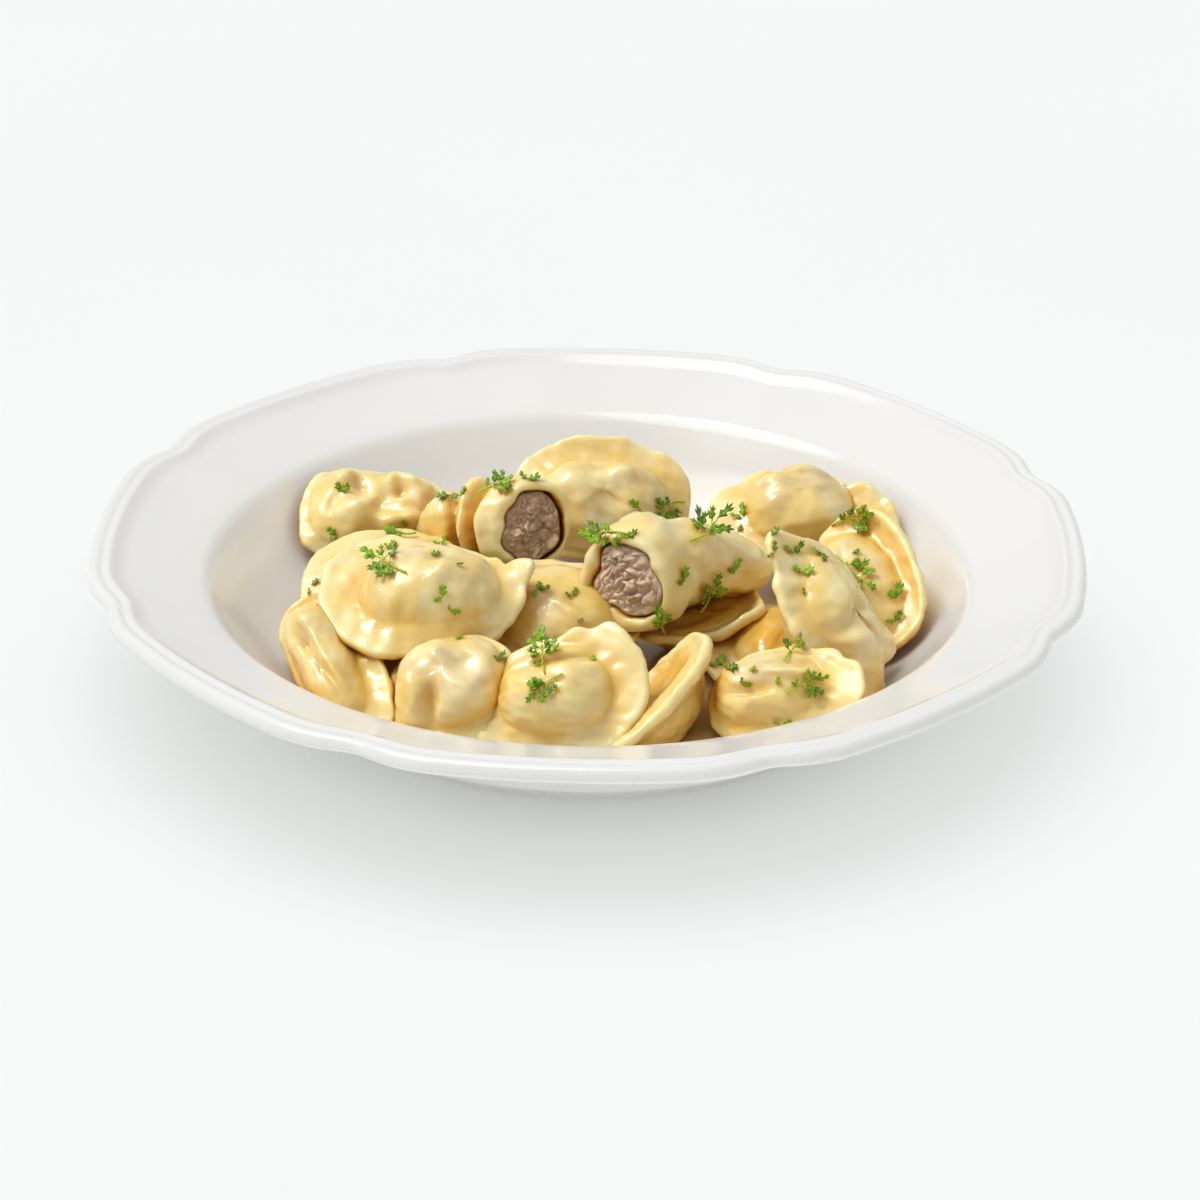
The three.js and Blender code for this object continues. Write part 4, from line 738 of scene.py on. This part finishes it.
def sprig(food, spot, seed):
    across, up, size, turn = spot
    place = herb_bed(food, across, up, size)
    heading = math.radians(turn)
    way = np.array([math.cos(heading), math.sin(heading)])
    parts = [stalk(place, tuple(-0.95 * size * way), tuple(0.55 * size * way), 0.55, STALK, seed)]
    fan = FAN[:6] if size > 4 else FAN[:4]
    for k, (along, angle, long) in enumerate(fan):
        lean = heading + math.radians(angle + 30 * (chance(seed, 20 + k) - 0.5))
        base = way * size * (along + 0.1 * (chance(seed, 30 + k) - 0.5))
        reach = size * 0.16
        hub = base + reach * np.array([math.cos(lean), math.sin(lean)])
        long = size * long * (0.8 + 0.45 * chance(seed, 40 + k))
        raised = 0.6 + 0.35 * chance(seed, 50 + k)
        past_hub = hub + 0.2 * (hub - base)
        parts.append(stalk(place, tuple(base), tuple(past_hub), raised, STALK * 0.75, seed + k))
        for j, fork in enumerate((0, 38, -40)[:1 + int(2.2 * chance(seed, 60 + k))]):
            bend = lean + math.radians(fork + 16 * (chance(seed, 70 + 3 * k + j) - 0.5))
            span = long * (1.0 if j == 0 else 0.72)
            tilt = 1.1 * (chance(seed, 80 + 3 * k + j) - 0.5)
            parts.append(blade(place, tuple(hub), bend, 1.15 * span, 0.56 * span, seed + 10 * k + j,
                               raised + 0.12 * j, tilt))
    return joined([outward(part) for part in parts])


def flake(food, spot, seed):
    across, up, size, turn = spot
    place = herb_bed(food, across, up, size)
    heading = math.radians(turn)
    parts = []
    for j in range(2 if size > 1.5 else 1):
        lean = heading + j * (1.2 + chance(seed, 3))
        base = -0.8 * size * np.array([math.cos(heading), math.sin(heading)])
        long = size * (1.7 - 0.5 * j)
        wide = long * (0.36 + 0.36 * chance(seed, 4 + j))
        tilt = 0.9 * (chance(seed, 6 + j) - 0.5)
        parts.append(blade(place, tuple(base), lean, long, wide, seed + j, 0.3 + 0.1 * j, tilt))
    return joined([outward(part) for part in parts])


# ---- materials ----
def material(name):
    made = bpy.data.materials.new(name)
    made.use_nodes = True
    tree = made.node_tree
    return made, tree, tree.nodes["Principled BSDF"]


def noise(tree, size_mm, detail, rough=0.5, offset=0.0):
    """Noise whose features are about size_mm across, in the plate's own space."""
    where = tree.nodes.new("ShaderNodeTexCoord")
    moved = tree.nodes.new("ShaderNodeMapping")
    moved.inputs["Location"].default_value = (offset, offset * 0.7, offset * 1.3)
    grain = tree.nodes.new("ShaderNodeTexNoise")
    grain.inputs["Scale"].default_value = 1 / (size_mm * MM)
    grain.inputs["Detail"].default_value = detail
    grain.inputs["Roughness"].default_value = rough
    tree.links.new(where.outputs["Object"], moved.inputs["Vector"])
    tree.links.new(moved.outputs["Vector"], grain.inputs["Vector"])
    return grain.outputs["Fac"]


def spread(tree, source, low, high, to_low=0.0, to_high=1.0):
    node = tree.nodes.new("ShaderNodeMapRange")
    node.interpolation_type = "SMOOTHSTEP"
    node.inputs["From Min"].default_value = low
    node.inputs["From Max"].default_value = high
    node.inputs["To Min"].default_value = to_low
    node.inputs["To Max"].default_value = to_high
    tree.links.new(source, node.inputs["Value"])
    return node.outputs["Result"]


def maths(tree, kind, first, second):
    node = tree.nodes.new("ShaderNodeMath")
    node.operation = kind
    for socket, value in zip(node.inputs, (first, second)):
        if isinstance(value, (int, float)):
            socket.default_value = value
        else:
            tree.links.new(value, socket)
    return node.outputs["Value"]


def mask(tree, name):
    node = tree.nodes.new("ShaderNodeAttribute")
    node.attribute_name = name
    return node.outputs["Fac"]


def blended(tree, factor, first, second):
    node = tree.nodes.new("ShaderNodeMixRGB")
    for socket, value in zip(node.inputs, (factor, first, second)):
        if isinstance(value, tuple):
            socket.default_value = (*value, 1.0)
        elif isinstance(value, (int, float)):
            socket.default_value = value
        else:
            tree.links.new(value, socket)
    return node.outputs["Color"]


def bumped(tree, height, distance_mm, below=None):
    node = tree.nodes.new("ShaderNodeBump")
    node.inputs["Strength"].default_value = 1.0
    node.inputs["Distance"].default_value = distance_mm * MM
    tree.links.new(height, node.inputs["Height"])
    if below is not None:
        tree.links.new(below, node.inputs["Normal"])
    return node.outputs["Normal"]


def hollows(tree, reach_mm, samples=3):
    """How enclosed a spot is: 0 in the open, 1 deep between pieces or in a crease."""
    node = tree.nodes.new("ShaderNodeAmbientOcclusion")
    node.samples = samples
    node.inputs["Distance"].default_value = reach_mm * MM
    return maths(tree, "SUBTRACT", 1.0, node.outputs["AO"])


def fitted(tree, shader, values):
    """Sets the shader's sockets, or links them to what varies over the surface."""
    for name, value in values.items():
        if isinstance(value, (int, float, tuple)):
            shader.inputs[name].default_value = value
        else:
            tree.links.new(value, shader.inputs[name])


def dough_material():
    """Wet boiled dough: cream, greyer where the filling shows, with painted golden shade in creases and
    where enclosed.
    """
    made, tree, shader = material("boiled_dough")
    cream = (0.87, 0.67, 0.22)
    pale = (0.92, 0.80, 0.44)
    painted_shade_golden = (0.80, 0.49, 0.06)
    painted_shade_honey = (0.72, 0.40, 0.02)
    painted_shade_amber = (0.50, 0.20, 0.015)
    meaty = (0.56, 0.42, 0.24)
    colour = blended(tree, spread(tree, noise(tree, 9, 2), 0.35, 0.7), cream, pale)
    showing = maths(tree, "MULTIPLY", mask(tree, "filling"), mask(tree, "tint"))
    uneven = spread(tree, noise(tree, 7, 3, offset=0.3), 0.38, 0.68, 0.15, 0.85)
    colour = blended(tree, maths(tree, "MULTIPLY", showing, uneven), colour, meaty)
    uneven = spread(tree, noise(tree, 12, 2, offset=0.6), 0.3, 0.7, 0.6, 1.0)
    # painted shade: the dough's creases and folds are coloured golden where shade would fall
    colour = blended(tree, maths(tree, "MULTIPLY", mask(tree, "crease"), uneven), colour, painted_shade_honey)
    colour = blended(tree, maths(tree, "MULTIPLY", mask(tree, "edge"), 0.5), colour, pale)
    # painted shade: the upper face of a piece that lies in the shadow of others is coloured golden
    colour = blended(tree, maths(tree, "MULTIPLY", mask(tree, "painted_shade_honey"), mask(tree, "upper")), colour, painted_shade_honey)
    # painted shade: golden, then amber, where the dough is hemmed in by other pieces
    enclosed = hollows(tree, 8, 4)
    colour = blended(tree, spread(tree, enclosed, 0.10, 0.42, 0, 0.95), colour, painted_shade_golden)
    colour = blended(tree, spread(tree, enclosed, 0.45, 0.85, 0, 0.95), colour, painted_shade_amber)
    soft = bumped(tree, noise(tree, 4.5, 2, 0.5, 0.2), 0.16)
    film = bumped(tree, noise(tree, 1.5, 2, 0.5, 0.9), 0.16, soft)
    wet = spread(tree, noise(tree, 7, 2, offset=1.4), 0.38, 0.62, 0.3, 1.0)
    fitted(tree, shader, {
        "Base Color": colour,
        "Normal": bumped(tree, noise(tree, 0.9, 2, 0.5, 0.5), 0.05, soft),
        "Coat Normal": bumped(tree, noise(tree, 0.6, 2, 0.5, 1.7), 0.07, film),
        "Roughness": spread(tree, noise(tree, 6, 2, offset=1.1), 0.3, 0.7, 0.36, 0.5),
        "Coat Weight": maths(tree, "MULTIPLY", wet, mask(tree, "wet")),
        "Specular IOR Level": 0.7,
        "Coat Roughness": 0.14,
        "Coat IOR": 1.5,
        "Subsurface Weight": 0.6,
        "Subsurface Radius": (1.0, 0.62, 0.2),
        "Subsurface Scale": 3.2 * MM,
    })
    return made


def mince_material(name, browned):
    """Cooked mince: grey-pink to brown lumps, painted dark shade in the cracks between them and in hollows,
    with paler flecks of fat.
    """
    made, tree, shader = material(name)
    pink = (0.76 - 0.40 * browned, 0.55 - 0.36 * browned, 0.41 - 0.29 * browned)
    brown = (0.50 - 0.24 * browned, 0.34 - 0.21 * browned, 0.21 - 0.13 * browned)
    grey = (0.50 - 0.24 * browned, 0.40 - 0.22 * browned, 0.28 - 0.16 * browned)
    dark = (0.13, 0.065, 0.03)
    pale = (0.86, 0.68, 0.50)
    colour = blended(tree, spread(tree, mask(tree, "grain"), 0.2, 0.9, 0, 0.7), pink, brown)
    colour = blended(tree, spread(tree, noise(tree, 5, 2, 0.5, 0.7), 0.45, 0.62, 0, 0.7), colour, grey)
    colour = blended(tree, spread(tree, noise(tree, 1.2, 4, 0.6), 0.40, 0.66, 0, 0.6), colour, pink)
    colour = blended(tree, spread(tree, noise(tree, 2.4, 3, offset=0.4), 0.60, 0.68, 0, 0.75), colour, pale)
    colour = blended(tree, spread(tree, mask(tree, "grain"), 0.92, 0.95, 0, 0.85), colour, pale)
    uneven = spread(tree, noise(tree, 2.0, 3, offset=0.8), 0.3, 0.6)
    colour = blended(tree, maths(tree, "MULTIPLY", mask(tree, "fat"), uneven), colour, pale)
    # painted shade: dark in the cracks between lumps and in hollows
    colour = blended(tree, spread(tree, mask(tree, "crack"), 0.55, 1.0, 0, 0.5), colour, dark)
    colour = blended(tree, spread(tree, hollows(tree, 2.5), 0.35, 0.8, 0, 0.5), colour, dark)
    fitted(tree, shader, {
        "Base Color": colour,
        "Normal": bumped(tree, noise(tree, 0.8, 3, 0.55), 0.1),
        "Roughness": spread(tree, noise(tree, 1.5, 2), 0.3, 0.7, 0.35, 0.65),
        "Coat Weight": 0.35,
        "Coat Roughness": 0.2,
        "Subsurface Weight": 0.5,
        "Subsurface Radius": (1.0, 0.6, 0.4),
        "Subsurface Scale": 1.5 * MM,
    })
    return made


def porcelain_material():
    """White glaze, a little uneven, with painted brown shade under the heap and close around it."""
    made, tree, shader = material("white_glaze")
    uneven = spread(tree, noise(tree, 40, 2), 0.3, 0.7)
    tone = blended(tree, uneven, (0.835, 0.832, 0.815), (0.855, 0.853, 0.838))
    # painted warm shade on the glaze where the food hems it in, within the bowl
    enclosed = spread(tree, hollows(tree, 14, 3), 0.35, 0.85, 0, 0.7)
    tone = blended(tree, maths(tree, "MULTIPLY", enclosed, mask(tree, "within")), tone, (0.50, 0.36, 0.17))
    # painted dark shade on the glaze under the heap
    tone = blended(tree, maths(tree, "MULTIPLY", mask(tree, "below"), 0.9), tone, (0.40, 0.22, 0.04))
    fitted(tree, shader, {
        "Base Color": tone,
        "Normal": bumped(tree, noise(tree, 14, 2), 0.05),
        "Roughness": spread(tree, noise(tree, 25, 2, offset=0.5), 0.3, 0.7, 0.14, 0.2),
        "Subsurface Weight": 0.08,
        "Subsurface Radius": (1.0, 0.9, 0.8),
        "Subsurface Scale": 2.0 * MM,
    })
    return made


def parsley_material():
    """Fresh chopped parsley: darker blades, paler veins and stems."""
    made, tree, shader = material("fresh_parsley")
    colour = blended(tree, mask(tree, "tone"), (0.015, 0.10, 0.001), (0.22, 0.48, 0.004))
    colour = blended(tree, spread(tree, noise(tree, 1.3, 3), 0.4, 0.7, 0, 0.5), colour, (0.08, 0.27, 0.003))
    fitted(tree, shader, {
        "Base Color": blended(tree, mask(tree, "vein"), colour, (0.44, 0.58, 0.03)),
        "Normal": bumped(tree, noise(tree, 0.5, 3), 0.06),
        "Roughness": spread(tree, noise(tree, 1.2, 2), 0.3, 0.7, 0.35, 0.55),
        "Specular IOR Level": 0.3,
        "Subsurface Weight": 0.3,
        "Subsurface Radius": (0.5, 1.0, 0.15),
        "Subsurface Scale": 0.8 * MM,
        "Coat Weight": 0.15,
        "Coat Roughness": 0.2,
    })
    return made


def floor_material():
    made, tree, shader = material("pale_floor")
    uneven = spread(tree, noise(tree, 200, 2), 0.3, 0.7)
    tone = blended(tree, uneven, (0.925, 0.935, 0.93), (0.93, 0.94, 0.935))
    fitted(tree, shader, {"Base Color": tone, "Roughness": 0.9, "Specular IOR Level": 0.1})
    return made


# ---- pieces ----
PLATE_FLOOR = sorted([(0, 5.0)] + PLATE_TOP[8:])
REST = 0.25


def settled(points):
    """What would lie within the plate is pressed up to its surface, as soft dough is."""
    radius = np.hypot(points[:, 0], points[:, 1])
    floor = np.interp(radius, [r for r, z in PLATE_FLOOR], [z for r, z in PLATE_FLOOR]) + REST
    points[:, 2] = np.maximum(points[:, 2], floor)
    return points


def marked(mesh, values):
    """Keeps a value for each point, or one for them all, for the material to read."""
    for key, value in values.items():
        column = np.array(np.broadcast_to(value, len(mesh.vertices)), float)
        mesh.attributes.new(key, "FLOAT", "POINT").data.foreach_set("value", column)


def mesh_piece(name, shape, look, nodes, seed=None, constants=None):
    """A closed mesh that rides on the plate; with a seed its skin gets small unevenness."""
    points, faces, masks = shape
    mesh = bpy.data.meshes.new(name)
    mesh.from_pydata((points * MM).tolist(), [], faces)
    mesh.polygons.foreach_set("use_smooth", [True] * len(mesh.polygons))
    mesh.update()
    if seed is not None:
        normals = np.zeros(len(points) * 3)
        mesh.vertex_normals.foreach_get("vector", normals)
        relief = 0.22 * ripples(points, seed, 5, 9) + 0.09 * ripples(points, seed + 40, 2.2, 4)
        moved = settled(points + normals.reshape(-1, 3) * relief[:, None])
        mesh.vertices.foreach_set("co", (moved * MM).ravel())
        mesh.update()
    marked(mesh, masks)
    marked(mesh, constants or {})
    mesh.materials.append(look)
    piece = bpy.data.objects.new(name, mesh)
    bpy.context.scene.collection.objects.link(piece)
    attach(piece, "root")
    if nodes:
        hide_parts(*nodes)
    return piece


def build_plate():
    return mesh_piece("glazed_plate", outward(plate_shape()), porcelain_material(), ["plate"])


def build_dumplings():
    look = dough_material()
    made = []
    for name, p in {**WHOLE, **CUT}.items():
        constants = {"tint": p["tint"], "painted_shade_honey": p.get("painted_shade_honey", 0.0), "wet": p.get("wet", 1.0)}
        shape = outward(cut_cup(p) if name in CUT else dumpling(p))
        node = "pelmen_" + name
        made.append(mesh_piece("dough_" + name, shape, look, [node], p["seed"], constants))
        if name in CUT:
            side = name.replace("cut_", "")
            cooked = mince_material("mince_" + side, p["browned"])
            filling = outward(mince_plug(p))
            made.append(mesh_piece("filling_" + side, filling, cooked, ["mince_" + side]))
    return made


def build_parsley(pieces):
    look = parsley_material()
    points = []
    faces = []
    start = 0
    for piece in pieces:
        mesh = piece.data
        flat = np.zeros(len(mesh.vertices) * 3)
        mesh.vertices.foreach_get("co", flat)
        points += (flat.reshape(-1, 3) / MM).tolist()
        faces += [tuple(start + k for k in polygon.vertices) for polygon in mesh.polygons]
        start += len(mesh.vertices)
    food = BVHTree.FromPolygons(points, faces)
    for k, spot in enumerate(SPRIGS):
        number = "%02d" % (k + 1)
        leaves = sprig(food, spot, 100 + 7 * k)
        mesh_piece("sprig_" + number, leaves, look, ["parsley_" + number])
    flakes = [flake(food, spot, 300 + 5 * k) for k, spot in enumerate(FLAKES)]
    mesh_piece("parsley_flakes", joined(flakes), look, [])


# ---- stage ----
def build_floor():
    half = 3.0
    mesh = bpy.data.meshes.new("floor")
    corners = [(-half, -half, 0), (half, -half, 0), (half, half, 0), (-half, half, 0)]
    mesh.from_pydata(corners, [], [(0, 1, 2, 3)])
    mesh.materials.append(floor_material())
    floor = bpy.data.objects.new("floor", mesh)
    bpy.context.scene.collection.objects.link(floor)
    return floor


def build_camera():
    right = np.array([1.0, 0, 0])
    ahead = np.array([0, math.cos(EYE_ANGLE), -math.sin(EYE_ANGLE)])
    above = np.array([0, math.sin(EYE_ANGLE), math.cos(EYE_ANGLE)])
    eye = np.array([0, 0, RIM_HEIGHT]) - ahead * EYE_DISTANCE
    look = unit(ahead + right * AIM_ACROSS - above * AIM_BELOW)
    across = right * math.cos(EYE_ROLL) + above * math.sin(EYE_ROLL)
    across = unit(across - look * across.dot(look))
    upward = np.cross(across, look)
    data = bpy.data.cameras.new("eye")
    data.lens = LENS
    data.sensor_width = SENSOR
    camera = bpy.data.objects.new("eye", data)
    bpy.context.scene.collection.objects.link(camera)
    rows = [(across[i], upward[i], -look[i], eye[i]) for i in range(3)]
    camera.matrix_world = Matrix((*rows, (0, 0, 0, 1)))
    bpy.context.scene.camera = camera


def sun(name, strength, angle, heading, colour):
    data = bpy.data.lights.new(name, "SUN")
    data.energy = strength
    data.angle = math.radians(angle)
    data.color = colour
    lamp = bpy.data.objects.new(name, data)
    bpy.context.scene.collection.objects.link(lamp)
    lamp.rotation_euler = Vector(heading).to_track_quat("-Z", "Y").to_euler()
    return lamp


def lit_only(lamp, pieces, kept):
    """The lamp lights nothing but the pieces, or all but them."""
    group = bpy.data.collections.new(lamp.name + "_lights")
    lamp.light_linking.receiver_collection = group
    for piece in pieces:
        group.objects.link(piece)
    for entry in group.collection_objects:
        entry.light_linking.link_state = "INCLUDE" if kept else "EXCLUDE"


def build_light(floor, plate):
    scene = bpy.context.scene
    world = bpy.data.worlds.new("studio")
    scene.world = world
    world.use_nodes = True
    background = world.node_tree.nodes["Background"]
    background.inputs["Color"].default_value = (0.98, 0.99, 1.0, 1)
    background.inputs["Strength"].default_value = 0.52
    lit_only(sun("window", 2.65, 24, (0.55, -0.09, -0.83), (1.0, 0.985, 0.95)), [floor, plate], False)
    lit_only(sun("window_haze", 1.9, 45, (0.36, 0.05, -0.93), (1.0, 0.99, 0.975)), [plate], True)
    lit_only(sun("overhead", 0.42, 62, (0.14, -0.08, -1.0), (1.0, 1.0, 1.0)), [floor], True)
    glow = sun("table_glow", 0.6, 120, (0.0, 0.5, 0.86), (1.0, 0.99, 0.97))
    lit_only(glow, [plate], True)
    glow.data.use_shadow = False
    open_sky = sun("open_sky", 1.13, 120, (0.0, 0.0, -1.0), (1.0, 1.0, 1.0))
    lit_only(open_sky, [floor], True)
    open_sky.data.use_shadow = False
    scene.view_settings.view_transform = "Standard"


build_camera()
plate = build_plate()
build_light(build_floor(), plate)
build_parsley([plate] + build_dumplings())
